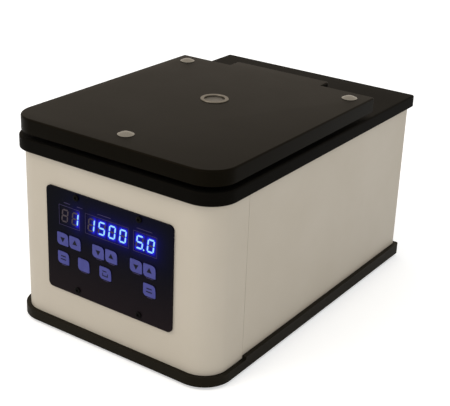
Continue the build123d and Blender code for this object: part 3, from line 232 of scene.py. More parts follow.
@dataclass(frozen=True)
class Finish:
    """A plain surface, which the patterned finishes build on."""

    name: str
    colour: str
    roughness: float
    metallic: float = 0.0
    ior: float = 1.5
    specular: float = 0.5

    def start(self) -> tuple[Material, NodeTree, Node]:
        """Makes the material with its shader.

        Returns:
            The material, its node tree and its Principled shader.
        """
        material = bpy.data.materials.new(self.name)
        material.use_nodes = True
        tree = material.node_tree
        shader = tree.nodes["Principled BSDF"]
        shader.inputs["Base Color"].default_value = linear(self.colour)
        shader.inputs["Roughness"].default_value = self.roughness
        shader.inputs["Metallic"].default_value = self.metallic
        if self.metallic == 0:
            shader.inputs["IOR"].default_value = self.ior
            shader.inputs["Specular IOR Level"].default_value = self.specular
        return material, tree, shader

    def build(self) -> Material:
        """Makes the material."""
        return self.start()[0]

    def shade_by(
        self,
        tree: NodeTree,
        shader: Node,
        pattern: NodeSocket,
        shade: str,
        amount: float,
        swing: float,
    ) -> None:
        """Lets a noise pattern change the colour and the gloss a little.

        Args:
            tree: The material's tree.
            shader: Its Principled shader.
            pattern: The noise.
            shade: The colour that the surface drifts towards, in sRGB hex.
            amount: How far it drifts, from 0 to 1.
            swing: How far the roughness moves either way.
        """
        drift = add_node(
            tree, "ShaderNodeMapRange",
            values={"From Min": 0.35, "From Max": 0.7, "To Min": 0.0, "To Max": amount},
            links={"Value": pattern},
        )
        colour = add_node(
            tree, "ShaderNodeMix", settings={"data_type": "RGBA"},
            values={"A": linear(self.colour), "B": linear(shade)},
            links={"Factor": drift.outputs["Result"]},
        )
        tree.links.new(colour.outputs["Result"], shader.inputs["Base Color"])
        low, high = self.roughness - swing, self.roughness + swing
        gloss = add_node(
            tree, "ShaderNodeMapRange",
            values={"From Min": 0.3, "From Max": 0.7, "To Min": low, "To Max": high},
            links={"Value": pattern},
        )
        tree.links.new(gloss.outputs["Result"], shader.inputs["Roughness"])


@cache
def material_of(finish: Finish) -> Material:
    """Makes a finish's material the first time that it is asked for."""
    return finish.build()


@dataclass(frozen=True)
class Grained(Finish):
    """A surface with an even fine grain, faintly cloudy colour and uneven gloss."""

    grain: float = 0.8 * MM
    depth: float = 0.03 * MM
    shade: str = "#000000"
    shade_amount: float = 0.2
    cloud: float = 40 * MM
    gloss_swing: float = 0.05
    tint: str = "#ffffff"

    def build(self) -> Material:
        """Makes the material, with grain and clouds on Object coordinates.

        Returns:
            The material.
        """
        material, tree, shader = self.start()
        place = add_node(tree, "ShaderNodeTexCoord").outputs["Object"]
        grain = add_node(
            tree, "ShaderNodeTexNoise", links={"Vector": place},
            values={"Scale": 1 / self.grain, "Detail": 2.0, "Roughness": 0.6},
        )
        clouds = add_node(
            tree, "ShaderNodeTexNoise", links={"Vector": place},
            values={"Scale": 1 / self.cloud, "Detail": 3.0, "Roughness": 0.55},
        )
        cloud, swing = clouds.outputs["Fac"], self.gloss_swing
        self.shade_by(tree, shader, cloud, self.shade, self.shade_amount, swing)
        bump = add_node(
            tree, "ShaderNodeBump",
            values={"Strength": 0.6, "Distance": self.depth},
            links={"Height": grain.outputs["Fac"]},
        )
        tree.links.new(bump.outputs["Normal"], shader.inputs["Normal"])
        shader.inputs["Specular Tint"].default_value = linear(self.tint)
        return material


class Lay(Enum):
    """Which way a metal's fine marks run."""

    ALONG_X = "along x"
    ROUND_SPINDLE = "round the spindle"


@dataclass(frozen=True)
class Worked(Finish):
    """A metal with fine brushing or turning marks."""

    lay: Lay = Lay.ALONG_X
    mark: float = 0.6 * MM
    depth: float = 0.01 * MM
    swing: float = 0.08
    shade: str = "#808080"
    shade_amount: float = 0.25

    STRETCH: ClassVar[float] = 40.0

    def along_lay(self, tree: NodeTree, place: NodeSocket) -> NodeSocket:
        """Bends the coordinates so that a noise on them is drawn out along the lay.

        Args:
            tree: The material's tree.
            place: The Object coordinates.

        Returns:
            The bent coordinates.
        """
        if self.lay is Lay.ALONG_X:
            squeeze = (1 / self.STRETCH, 1, 1)
            return add_node(
                tree, "ShaderNodeMapping", values={"Scale": squeeze}, links={"Vector": place}
            ).outputs[0]
        centred = add_node(
            tree, "ShaderNodeMapping", links={"Vector": place},
            values={"Location": (0, -SPIN_Y, 0)},
        )
        split = add_node(tree, "ShaderNodeSeparateXYZ", links={0: centred.outputs[0]})
        flat = add_node(
            tree, "ShaderNodeCombineXYZ", links={0: split.outputs["X"], 1: split.outputs["Y"]}
        )
        radius = add_node(
            tree, "ShaderNodeVectorMath", settings={"operation": "LENGTH"},
            links={0: flat.outputs[0]},
        )
        return add_node(
            tree, "ShaderNodeCombineXYZ",
            links={0: radius.outputs["Value"], 1: split.outputs["Z"]},
        ).outputs[0]

    def build(self) -> Material:
        """Makes the material, with its marks drawn out along the lay.

        Returns:
            The material.
        """
        material, tree, shader = self.start()
        place = add_node(tree, "ShaderNodeTexCoord").outputs["Object"]
        marks = add_node(
            tree, "ShaderNodeTexNoise",
            values={"Scale": 1 / self.mark, "Detail": 3.0, "Roughness": 0.7},
            links={"Vector": self.along_lay(tree, place)},
        ).outputs["Fac"]
        self.shade_by(tree, shader, marks, self.shade, self.shade_amount, self.swing)
        bump = add_node(
            tree, "ShaderNodeBump",
            values={"Strength": 0.5, "Distance": self.depth},
            links={"Height": marks},
        )
        tree.links.new(bump.outputs["Normal"], shader.inputs["Normal"])
        return material


@dataclass(frozen=True)
class GlowingFilm(Finish):
    """A printed film or window with a painted blue glow of the digits behind it."""

    # Colour and strength of the painted glow round the lit digits
    painted_glow: str = "#2010ff"
    painted_glow_strength: float = 0.5
    warm: str = "#1a1416"
    warm_from: float = 48 * MM
    warm_to: float = 112 * MM
    grain: float = 1.2 * MM

    ATTRIBUTE: ClassVar[str] = "painted_glow"

    def build(self) -> Material:
        """Makes the material, whose painted glow follows the mesh's own attribute.

        Returns:
            The material.
        """
        material, tree, shader = self.start()
        place = add_node(tree, "ShaderNodeTexCoord").outputs["Object"]
        height = add_node(tree, "ShaderNodeSeparateXYZ", links={0: place}).outputs["Z"]
        low = add_node(
            tree, "ShaderNodeMapRange",
            values={
                "From Min": self.warm_from, "From Max": self.warm_to, "To Min": 1.0, "To Max": 0.0,
            },
            links={"Value": height},
        )
        base = add_node(
            tree, "ShaderNodeMix", settings={"data_type": "RGBA"},
            values={"A": linear(self.colour), "B": linear(self.warm)},
            links={"Factor": low.outputs["Result"]},
        )
        tree.links.new(base.outputs["Result"], shader.inputs["Base Color"])
        # Painted glow: emission that stands in for the digits' light spread over the surface
        painted_glow = add_node(
            tree, "ShaderNodeAttribute", settings={"attribute_name": self.ATTRIBUTE}
        ).outputs["Fac"]
        glow = add_node(
            tree, "ShaderNodeMath", settings={"operation": "MULTIPLY"},
            values={1: self.painted_glow_strength},
            links={0: painted_glow},
        )
        shader.inputs["Emission Color"].default_value = linear(self.painted_glow)
        tree.links.new(glow.outputs["Value"], shader.inputs["Emission Strength"])
        grain = add_node(
            tree, "ShaderNodeTexNoise", links={"Vector": place},
            values={"Scale": 1 / self.grain, "Detail": 1.0},
        )
        bump = add_node(
            tree, "ShaderNodeBump",
            values={"Strength": 0.3, "Distance": 0.01 * MM},
            links={"Height": grain.outputs["Fac"]},
        )
        tree.links.new(bump.outputs["Normal"], shader.inputs["Normal"])
        return material


@dataclass(frozen=True)
class Lit(Finish):
    """A segment that gives light."""

    light: str = "#a6e6fa"
    strength: float = 1.0

    def build(self) -> Material:
        """Makes the material, which lights itself.

        Returns:
            The material.
        """
        material, _, shader = self.start()
        shader.inputs["Emission Color"].default_value = linear(self.light)
        shader.inputs["Emission Strength"].default_value = self.strength
        return material


@dataclass(frozen=True)
class Clear(Finish):
    """Clear acrylic or glass, slightly smudged."""

    transmission: float = 0.92
    smudge: float = 6 * MM
    gloss_swing: float = 0.06

    def build(self) -> Material:
        """Makes the material, with smudges in its gloss.

        Returns:
            The material.
        """
        material, tree, shader = self.start()
        shader.inputs["Transmission Weight"].default_value = self.transmission
        place = add_node(tree, "ShaderNodeTexCoord").outputs["Object"]
        smudges = add_node(
            tree, "ShaderNodeTexNoise", links={"Vector": place},
            values={"Scale": 1 / self.smudge, "Detail": 3.0, "Roughness": 0.6},
        )
        low, high = self.roughness, self.roughness + self.gloss_swing
        gloss = add_node(
            tree, "ShaderNodeMapRange",
            values={"From Min": 0.4, "From Max": 0.7, "To Min": low, "To Max": high},
            links={"Value": smudges.outputs["Fac"]},
        )
        tree.links.new(gloss.outputs["Result"], shader.inputs["Roughness"])
        return material


@dataclass(frozen=True)
class SolderMask(Finish):
    """A circuit board's green mask with paler copper under it."""

    track: str = "#2f7a4a"
    pitch: float = 4 * MM

    def build(self) -> Material:
        """Makes the material, with square pads of copper under the mask.

        Returns:
            The material.
        """
        material, tree, shader = self.start()
        place = add_node(tree, "ShaderNodeTexCoord").outputs["Object"]
        cells = add_node(
            tree, "ShaderNodeTexVoronoi", settings={"distance": "CHEBYCHEV"},
            values={"Scale": 1 / self.pitch, "Randomness": 0.6},
            links={"Vector": place},
        )
        pads = add_node(
            tree, "ShaderNodeMapRange",
            values={"From Min": 0.30, "From Max": 0.34, "To Min": 1.0, "To Max": 0.0},
            links={"Value": cells.outputs["Distance"]},
        )
        colour = add_node(
            tree, "ShaderNodeMix", settings={"data_type": "RGBA"},
            values={"A": linear(self.colour), "B": linear(self.track)},
            links={"Factor": pads.outputs["Result"]},
        )
        tree.links.new(colour.outputs["Result"], shader.inputs["Base Color"])
        return material


# Finishes

# Real grain and brush marks are a tenth or two of a millimetre wide. That is too fine to show when
# the whole object is in view, so here they are 0.5 to 1.6 mm wide

# Powder coat on sheet steel: a warm off-white, satin, with a faint orange-peel skin
ENAMEL = Grained(
    "powder_coated_steel", "#b9b0a1", 0.42, grain=1.6 * MM, depth=0.02 * MM,
    shade="#b3aa9a", shade_amount=0.5, cloud=70 * MM,
)
# Moulded ABS with a spark-eroded skin: near black, with a faint warm sheen
MOULDING = Grained(
    "textured_abs", "#0a0906", 0.36, specular=0.03, grain=0.9 * MM, depth=0.02 * MM,
    shade="#0e0d09", shade_amount=0.4, cloud=60 * MM, tint="#ffd9a8", gloss_swing=0.015,
)
# The same on the deck: duller than the lid, with hardly any sheen
DECK_MOULDING = Grained(
    "textured_abs_deck", "#090908", 0.52, specular=0.02, grain=0.9 * MM, depth=0.02 * MM,
    shade="#0d0d0b", shade_amount=0.4, cloud=60 * MM, tint="#ffd9a8", gloss_swing=0.02,
)
# The same on the tray, scuffed by the bench: a shade paler
TRAY_MOULDING = Grained(
    "textured_abs_tray", "#14130f", 0.50, specular=0.08, grain=0.9 * MM, depth=0.02 * MM,
    shade="#191813", shade_amount=0.4, cloud=60 * MM, tint="#ffd9a8", gloss_swing=0.02,
)
# Printed polyester film: a blue black that turns brownish towards its lower edge, satin, with a
# faint painted blue glow near the lit digits
PANEL_FILM = GlowingFilm(
    "printed_polyester_film", "#07080b", 0.35, specular=0.03, painted_glow_strength=0.09, painted_glow="#2814ff"
)
# Smoked acrylic of the digit modules: almost black, with a painted blue glow close round the lit
# bars
DIGIT_WINDOW = GlowingFilm(
    "smoked_acrylic", "#060609", 0.25, specular=0.04, painted_glow_strength=1.3, painted_glow="#2420ff"
)
# Embossed polyester over the keys: a soft violet blue
KEY_TOP = Grained(
    "embossed_polyester", "#454788", 0.45, specular=0.15, grain=0.8 * MM, depth=0.01 * MM,
    shade="#3c3e7a", shade_amount=0.6, cloud=9 * MM,
)
# Screen ink on the keys: a flat blue black
KEY_INK = Grained(
    "dark_key_ink", "#0b0b16", 0.5, specular=0.1, grain=0.5 * MM, depth=0.005 * MM,
    shade="#14142a", shade_amount=0.6, cloud=4 * MM,
)
# Screen ink on the film: a dim violet, thin in places
PALE_INK = Grained(
    "pale_panel_ink", "#453d63", 0.5, specular=0.1, grain=0.5 * MM, depth=0.005 * MM,
    shade="#2c2745", shade_amount=0.7, cloud=12 * MM,
)
# Lit diode segments: an icy blue white
LIT_SEGMENT = Lit("lit_diode_segment", "#101418", 0.3, specular=0.1)
# Unlit diode segments: brownish grey ghosts
DARK_SEGMENT = Grained(
    "unlit_diode_segment", "#453c42", 0.4, specular=0.1, grain=0.6 * MM, depth=0.005 * MM,
    shade="#332c34", shade_amount=0.7, cloud=10 * MM,
)
# Nitrile rubber: dull and charcoal
RUBBER = Grained("black_nitrile_rubber", "#151515", 0.75, specular=0.3, shade="#1e1e1d")
# Spun stainless steel: rings of soft gloss round the spindle
STAINLESS = Worked("spun_stainless_steel", "#a9a8a4", 0.30, 1.0, lay=Lay.ROUND_SPINDLE)
# Brushed stainless sheet: gloss drawn out from side to side
PLATE_STEEL = Worked("brushed_stainless_steel", "#a4a39f", 0.33, 1.0)
# Zinc plate: a cool grey with a soft mottle
ZINC = Grained(
    "zinc_plated_steel", "#9a9c9c", 0.38, 1.0, grain=1.5 * MM, depth=0.01 * MM,
    shade="#7e8080", shade_amount=0.5, cloud=8 * MM,
)
# Brushed satin nickel: a quiet grey with a small glint
NICKEL = Worked("satin_nickel", "#8b8b88", 0.24, 1.0, swing=0.05, shade="#6f6b65")
# Turned nickel: darker and duller than the bolts, with rings round the spindle
PORT_METAL = Worked(
    "turned_nickel", "#6b6862", 0.34, 1.0, lay=Lay.ROUND_SPINDLE, swing=0.05, shade="#5d5850"
)
# Ground steel: bright and clean
BRIGHT_STEEL = Worked("ground_steel", "#c2c2c0", 0.18, 1.0, swing=0.04)
# Oiled black oxide: a dark head that is all but lost on the film
BLACK_SCREW = Grained("black_oxide_steel", "#050404", 0.5, specular=0.05, shade="#0a0909")
# Turned and anodised aluminium: pale grey, with rings round the spindle
ANODISED = Worked("anodised_aluminium", "#b4b6b8", 0.33, 1.0, lay=Lay.ROUND_SPINDLE)
# Stove enamel on the motor: a smooth soft black
MOTOR_PAINT = Grained("black_stove_enamel", "#1c1d1f", 0.45, shade="#26272a")
# Cast acrylic: clear, with a few smudges
GLASS = Clear("clear_acrylic", "#e6eceb", 0.05, ior=1.49)
# The same, worn dull by cleaning: a cloudy grey brown
PORT_GLASS = Clear("worn_acrylic", "#6d675e", 0.40, ior=1.49, transmission=0.45)
# Brass strip: warm yellow blades
BRASS = Worked("brass_strip", "#c0a054", 0.30, 1.0)
# Solder mask: dark green, with paler squares where copper lies under it
BOARD = SolderMask("solder_mask", "#0f4a27", 0.35)
# Moulded polyamide: satin black
BLACK_PLASTIC = Grained("black_polyamide", "#141414", 0.48, specular=0.35, shade="#1d1d1c")
# Shrink sleeve: a satin navy skin
SLEEVE = Grained(
    "shrink_sleeve", "#14203f", 0.35, grain=1.0 * MM, depth=0.01 * MM,
    shade="#1d2c52", shade_amount=0.5, cloud=12 * MM,
)
# Natural nylon: a milky off-white
NYLON = Grained("white_nylon", "#d8d6cf", 0.5, shade="#cbc9c1")


def dress(finish: Finish, *nodes: str) -> None:
    """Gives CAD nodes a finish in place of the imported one.

    Args:
        finish: The finish.
        nodes: The nodes' names.
    """
    for node in nodes:
        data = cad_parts[node].data
        data.materials.clear()
        data.materials.append(material_of(finish))
        LOG.info("%s: %s", node, finish.name)


def soften(node: str, finish: Finish, body: str, edge: float) -> None:
    """Stands a copy of a CAD node in its place, with its sharp edges slightly broken.

    Args:
        node: The node's name.
        finish: The piece's finish.
        body: The body that carries it.
        edge: Width of the broken edge, in metres.
    """
    mesh = merged_copy(node)
    piece = new_piece(f"{node}_finished", mesh, material_of(finish), body, SHARP_ABOVE)
    break_edges(piece, edge)
    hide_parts(node)


# Sub-assemblies

@dataclass
class Casework:
    """The enamelled sheets, the tray that they stand in and its feet."""

    edge: float = 0.35 * MM
    tray_edge: float = 0.6 * MM

    def build(self) -> None:
        """Dresses the case."""
        for node in ("front_fascia", "left_side", "right_side", "rear_panel"):
            soften(node, ENAMEL, "housing", self.edge)
        soften("base_tray", TRAY_MOULDING, "housing", self.tray_edge)
        dress(RUBBER, "feet")
        dress(ZINC, "medium_screws", "small_screws")


@dataclass
class Chamber:
    """The deck, the bowl and the turning set in it."""

    deck_edge: float = 0.5 * MM
    bowl_edge: float = 0.1 * MM
    rotor_edge: float = 0.4 * MM

    def build(self) -> None:
        """Dresses the chamber."""
        soften("top_deck", DECK_MOULDING, "housing", self.deck_edge)
        soften("bowl", STAINLESS, "housing", self.bowl_edge)
        soften("rotor", ANODISED, "rotor_set", self.rotor_edge)
        soften("rotor_nut", BRIGHT_STEEL, "rotor_set", self.rotor_edge)
        dress(RUBBER, "bowl_seal", "shaft_boot", "vibration_mounts")
        dress(ZINC, "hinge_bracket", "motor_plate", "motor_screws")
        dress(ZINC, "bearings", "stator", "magnet_rotor")
        dress(BRIGHT_STEEL, "hinge_pin", "motor_shaft")
        dress(MOTOR_PAINT, "motor_housing")
        dress(ANODISED, "motor_cap")


@dataclass
class Lid:
    """The hinged lid with its bolts, port and striker."""

    domes: tuple[tuple[float, float], ...] = ((0, -159.5), (-104, 73), (104, 73))
    dome_radius: float = 8.0
    dome_height: float = 3.0
    dome_foot: float = 0.5
    dome_step: float = 0.3
    dome_least: float = 0.7
    dome_rings: int = 8
    shank_radius: float = 3.0
    shank_length: float = 15.0
    turns: int = 48
    weld: float = 0.001
    edge: float = 0.6 * MM
    ring_edge: float = 0.1 * MM

    def dome_profile(self) -> list[Vector]:
        """Draws half of a bolt from the shank's end to the top of its domed head.

        Returns:
            Points in the XZ plane, in millimetres, with the lid's top at height zero.
        """
        radius, height = self.dome_radius, self.dome_height
        ball = (radius**2 + height**2) / (2 * height)
        points = [
            Vector((0, 0, -self.shank_length)),
            Vector((self.shank_radius, 0, -self.shank_length)),
            Vector((self.shank_radius, 0, 0)),
            Vector((radius, 0, 0)),
            Vector((radius, 0, self.dome_foot)),
        ]
        for ring in range(self.dome_rings + 1):
            across = (radius - self.dome_step) * (1 - ring / self.dome_rings)
            rise = (ball**2 - across**2) ** 0.5 - ball + height
            points.append(Vector((across, 0, max(rise, self.dome_least))))
        return points

    def bolts(self) -> None:
        """Makes the domed bolts with their shanks."""
        mesh = bmesh.new()
        for x, y in self.domes:
            before = set(mesh.verts)
            verts = [mesh.verts.new(point) for point in self.dome_profile()]
            edges = [mesh.edges.new(pair) for pair in zip(verts, verts[1:])]
            bmesh.ops.spin(
                mesh, geom=verts + edges, cent=ORIGIN, axis=(0, 0, 1), angle=2 * pi,
                steps=self.turns, use_merge=True,
            )
            bmesh.ops.translate(mesh, vec=(x, y, LID_TOP), verts=gained(mesh, before))
        bmesh.ops.remove_doubles(mesh, verts=mesh.verts, dist=self.weld)
        bmesh.ops.scale(mesh, vec=(MM, MM, MM), verts=mesh.verts)
        bmesh.ops.recalc_face_normals(mesh, faces=mesh.faces)
        piece = new_piece("lid_dome_bolts", mesh, material_of(NICKEL), "lid")
        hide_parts("lid_bolts")

    def build(self) -> None:
        """Makes and dresses the lid."""
        soften("lid_cover", MOULDING, "lid", self.edge)
        self.bolts()
        soften("port_ring", PORT_METAL, "lid", self.ring_edge)
        dress(PORT_GLASS, "port_window")
        dress(PLATE_STEEL, "lid_plate")
        dress(ZINC, "striker", "striker_screws")


class Segment(Enum):
    """A digit's seven bars: middle in half-widths and half-heights, and whether it is level."""

    TOP = (0, 1, True)
    TOP_RIGHT = (1, 0.5, False)
    LOW_RIGHT = (1, -0.5, False)
    BOTTOM = (0, -1, True)
    LOW_LEFT = (-1, -0.5, False)
    TOP_LEFT = (-1, 0.5, False)
    MIDDLE = (0, 0, True)


FIGURES: dict[str, str] = {
    " ": "",
    "0": "TOP TOP_RIGHT LOW_RIGHT BOTTOM LOW_LEFT TOP_LEFT",
    "1": "TOP_RIGHT LOW_RIGHT",
    "5": "TOP TOP_LEFT MIDDLE LOW_RIGHT BOTTOM",
}


@dataclass
class Readouts:
    """Eight digits in four two-digit modules, with their lit and dark bars."""

    shown: str = " 1150050"
    module_x: tuple[float, ...] = (-46.8, -13.5, 12.0, 44.8)
    glyph_pitch: float = 12.9
    glyph_z: float = 129.5
    glyph_width: float = 6.7
    glyph_height: float = 12.3
    bar_width: float = 1.55
    bar_gap: float = 0.25
    bar_tip: float = 0.49
    bar_lift: float = 0.04
    bar_thick: float = 0.03
    slant: float = 7.0
    point_after: int = 6
    point_radius: float = 0.8
    point_right: float = 1.3
    point_drop: float = 0.3
    sunk: float = 0.3
    light_steps: int = 4
    lit_points: list[Vector] = field(default_factory=list)

    def centres(self) -> list[float]:
        """The digits' middles from left to right, in millimetres."""
        half = self.glyph_pitch / 2
        return [x + side * half for x in self.module_x for side in (-1, 1)]

    def bar(self, mesh: BMesh, segment: Segment) -> list[BMVert]:
        """Adds one bar with pointed ends, flat in the XZ plane, to a digit round the origin.

        Args:
            mesh: Where the bar is added.
            segment: Which of the seven it is.

        Returns:
            The bar's corners.
        """
        across, up, level = segment.value
        length = (self.glyph_width if level else self.glyph_height / 2) - 2 * self.bar_gap
        before = set(mesh.verts)
        quad = rectangle(mesh, length, self.bar_width)
        bmesh.ops.bevel(
            mesh, geom=quad, offset=self.bar_width * self.bar_tip, segments=1, profile=0.5,
            affect="VERTICES", material=-1,
        )
        made = gained(mesh, before)
        if not level:
            upright = Matrix.Rotation(pi / 2, 3, "Z")
            bmesh.ops.rotate(mesh, cent=ORIGIN, matrix=upright, verts=made)
        stand_up(mesh, made, (across * self.glyph_width / 2, 0, up * self.glyph_height / 2))
        return made

    def note_light(self, bar: list[BMVert], level: bool) -> None:
        """Notes evenly spaced points along a lit bar, in metres, for the painted glow round it.

        Args:
            bar: The bar's corners.
            level: Whether the bar is level.
        """
        corners = sorted((v.co for v in bar), key=lambda c: c.x if level else c.z)
        for step in range(self.light_steps + 1):
            spot = corners[0].lerp(corners[-1], step / self.light_steps)
            self.lit_points.append(spot * MM)

    def point(self, mesh: BMesh, middle: float) -> None:
        """Adds the lit decimal point to the right of a digit.

        Args:
            mesh: Where it is added.
            middle: The digit's middle, in millimetres.
        """
        dot = bmesh.ops.create_circle(
            mesh, cap_ends=True, segments=16, radius=self.point_radius
        )["verts"]
        x = middle + self.glyph_width / 2 + self.point_right
        stand_up(mesh, dot, (x, 0, self.glyph_z - self.glyph_height / 2 - self.point_drop))

    def build(self) -> None:
        """Makes the lit and the dark bars of every digit."""
        lit, dark = bmesh.new(), bmesh.new()
        lean = Matrix.Identity(4)
        lean[0][2] = tan(radians(self.slant))
        for place, (figure, middle) in enumerate(zip(self.shown, self.centres())):
            for segment in Segment:
                is_lit = segment.name in FIGURES[figure].split()
                mesh = lit if is_lit else dark
                bar = self.bar(mesh, segment)
                bmesh.ops.transform(mesh, matrix=lean, verts=bar)
                bmesh.ops.translate(mesh, vec=(middle, 0, self.glyph_z), verts=bar)
                if is_lit:
                    self.note_light(bar, segment.value[2])
            if place == self.point_after:
                self.point(lit, middle)
        for mesh, name, finish in (
            (lit, "lit_segments", LIT_SEGMENT), (dark, "dark_segments", DARK_SEGMENT)
        ):
            lay_on(mesh, PANEL_FACE + self.sunk, self.bar_lift, self.bar_thick)
            new_piece(name, mesh, material_of(finish), "housing")

    def painted_glow(self, point: Vector, reach: float) -> float:
        """How much of the digits' painted glow falls on a point of the panel.

        Args:
            point: The point, in metres.
            reach: The distance over which the light falls to half, in metres.

        Returns:
            A number from 0 to 1.
        """
        nearest = min(hypot(point.x - p.x, point.z - p.z) for p in self.lit_points)
        return 1 / (1 + (nearest / reach) ** 2)


# Strokes of a sign: x, z, width and height from a key's middle, in millimetres
Strokes = tuple[tuple[float, float, float, float], ...]


@dataclass
class ControlPanel:
    """The film-covered plate with its digits, keys, printed rules and screws."""

    readouts: Readouts = field(default_factory=Readouts)
    frames: tuple[tuple[float, float], ...] = ((-60.4, -34.4), (-27.0, 25.6), (31.4, 58.4))
    frame_low: float = 119.4
    frame_high: float = 139.8
    rule_width: float = 0.35
    ink_lift: float = 0.02
    ink_thick: float = 0.015
    caption_width: float = 0.5
    caption_z: float = 143.2
    captions_above: tuple[tuple[float, float], ...] = ((-50, 8), (-34, 7), (-4, 16), (44, 18))
    caption_drop: float = 8.0
    captions_upper: tuple[float, ...] = (7, 7, 8, 8)
    captions_lower: tuple[float, ...] = (6, 8, 6, 6)
    film_step: float = 2.4 * MM
    window_step: float = 0.9 * MM
    film_reach: float = 5 * MM
    window_reach: float = 1.2 * MM
    screws_at: tuple[tuple[float, float], ...] = (
        (-38, 54.5), (38, 54.5), (-38, 152.2), (38, 152.2)
    )
    screw_radius: float = 3.25
    screw_height: float = 1.5
    screw_round: float = 0.6
    socket_rim: float = 1.3
    socket_depth: float = 0.9
    upper_keys: tuple[float, ...] = (-56.0, -40.3, -11.0, 5.0, 34.9, 50.6)
    lower_keys: tuple[float, ...] = (-55.6, -29.5, -2.4, 50.7)
    upper_z: float = 104.4
    lower_z: float = 84.4
    key_width: float = 14.2
    key_height: float = 12.9
    key_round: float = 3.8
    key_tight: float = 1.2
    key_edge: float = 0.15 * MM
    cap_thick: float = 0.35
    arrow_radius: float = 3.5
    two_bars: Strokes = ((0, 1.8, 6.2, 1.2), (0, -1.6, 7.0, 1.2))
    lid_sign: Strokes = (
        (0, -2.6, 7.0, 1.1), (-3.0, -0.9, 1.0, 2.5), (3.0, -0.9, 1.0, 2.5), (-0.8, 2.3, 5.0, 1.1)
    )

    def with_painted_glow(self, node: str, finish: GlowingFilm, reach: float, step: float) -> None:
        """Stands a finely cut copy of a node in its place and stores the painted glow of the digits
        on it.

        Args:
            node: The CAD node.
            finish: The film's or window's finish.
            reach: How far the digits' light spreads, in metres.
            step: Width of the cells that the painted glow is stored on, in metres.
        """
        mesh = merged_copy(node)
        low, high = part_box(node)
        for axis in (0, 2):
            cuts = int((high[axis] - low[axis]) / step)
            for cut in range(1, cuts):
                at, normal = [0.0, 0.0, 0.0], [0.0, 0.0, 0.0]
                at[axis] = low[axis] + (high[axis] - low[axis]) * cut / cuts
                normal[axis] = 1.0
                geom = mesh.verts[:] + mesh.edges[:] + mesh.faces[:]
                bmesh.ops.bisect_plane(mesh, geom=geom, dist=ON_PLANE, plane_co=at, plane_no=normal)
        # Stores on each corner how much painted glow of the digits it gets
        layer = mesh.verts.layers.float.new(finish.ATTRIBUTE)
        for vert in mesh.verts:
            vert[layer] = self.readouts.painted_glow(vert.co, reach)
        piece = new_piece(f"{node}_film", mesh, material_of(finish), "housing")
        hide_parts(node)

    def stroke(self, mesh: BMesh, x: float, z: float, width: float, height: float) -> None:
        """Adds a small flat rectangle in the XZ plane, in millimetres."""
        stand_up(mesh, rectangle(mesh, width, height), (x, 0, z))

    def arrow(self, mesh: BMesh, x: float, z: float, up: bool) -> None:
        """Adds a triangle in the XZ plane, in millimetres.

        Args:
            mesh: Where it is added.
            x: Its middle.
            z: Its middle.
            up: Whether it points up or down.
        """
        made = bmesh.ops.create_circle(
            mesh, cap_ends=True, segments=3, radius=self.arrow_radius
        )["verts"]
        highest = max(made, key=lambda v: v.co.y)
        points_up = abs(highest.co.x) < 0.01
        if points_up != up:
            half_turn = Matrix.Rotation(pi, 3, "Z")
            bmesh.ops.rotate(mesh, cent=ORIGIN, matrix=half_turn, verts=made)
        stand_up(mesh, made, (x, 0, z))

    def key_centres(self) -> list[tuple[float, float]]:
        """The keys' middles in order of their numbers, in millimetres."""
        upper = [(x, self.upper_z) for x in self.upper_keys]
        return upper + [(x, self.lower_z) for x in self.lower_keys]

    def cap(self, mesh: BMesh, x: float, z: float) -> None:
        """Adds a key's cap, with two rounder and two tighter corners, in metres.

        Args:
            mesh: Where it is added.
            x: Its middle, in millimetres.
            z: Its middle, in millimetres.
        """
        before = set(mesh.verts)
        quad = rectangle(mesh, self.key_width, self.key_height)
        wide = [v for v in quad if v.co.x * v.co.y > 0]
        tight = [v for v in quad if v.co.x * v.co.y < 0]
        for corners, radius, segments in ((wide, self.key_round, 8), (tight, self.key_tight, 4)):
            bmesh.ops.bevel(
                mesh, geom=corners, offset=radius, segments=segments, profile=0.5,
                affect="VERTICES", material=-1,
            )
        face = next(f for f in mesh.faces if not any(v in before for v in f.verts))
        if face.normal.z < 0:
            face.normal_flip()
        raised = bmesh.ops.extrude_face_region(mesh, geom=[face])["geom"]
        top = [v for v in raised if isinstance(v, BMVert)]
        bmesh.ops.translate(mesh, vec=(0, 0, self.cap_thick), verts=top)
        made = gained(mesh, before)
        stand_up(mesh, made, (x, KEY_FACE + self.cap_thick, z))
        bmesh.ops.scale(mesh, vec=(MM, MM, MM), verts=made)

    def keys(self) -> None:
        """Makes each key: the CAD key's stem, which passes through the plate, under a cap."""
        for number, (x, z) in enumerate(self.key_centres(), start=1):
            body = f"key_{number}"
            mesh = merged_copy(body)
            under_cap = (0, (KEY_FACE + self.cap_thick) * MM, 0)
            geom = mesh.verts[:] + mesh.edges[:] + mesh.faces[:]
            cut = bmesh.ops.bisect_plane(
                mesh, geom=geom, dist=ON_PLANE, plane_co=under_cap, plane_no=(0, -1, 0),
                clear_outer=True,
            )
            rim = [e for e in cut["geom_cut"] if isinstance(e, BMEdge)]
            bmesh.ops.edgeloop_fill(mesh, edges=rim)
            self.cap(mesh, x, z)
            bmesh.ops.recalc_face_normals(mesh, faces=mesh.faces)
            piece = new_piece(f"{body}_cap", mesh, material_of(KEY_TOP), body)
            break_edges(piece, self.key_edge)
            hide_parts(body)

    def key_marks(self) -> None:
        """Prints arrows on the upper keys, and signs on all but one of the lower keys."""
        signs = {7: self.two_bars, 9: self.lid_sign, 10: self.two_bars}
        for number, (x, z) in enumerate(self.key_centres(), start=1):
            is_arrow = number <= len(self.upper_keys)
            if not is_arrow and number not in signs:
                continue
            mesh = bmesh.new()
            if is_arrow:
                self.arrow(mesh, x, z, up=number % 2 == 0)
            for across, up, width, height in signs.get(number, ()):
                self.stroke(mesh, x + across, z + up, width, height)
            lay_on(mesh, KEY_FACE, self.ink_lift, self.ink_thick)
            ink = material_of(KEY_INK)
            new_piece(f"key_{number}_print", mesh, ink, f"key_{number}")

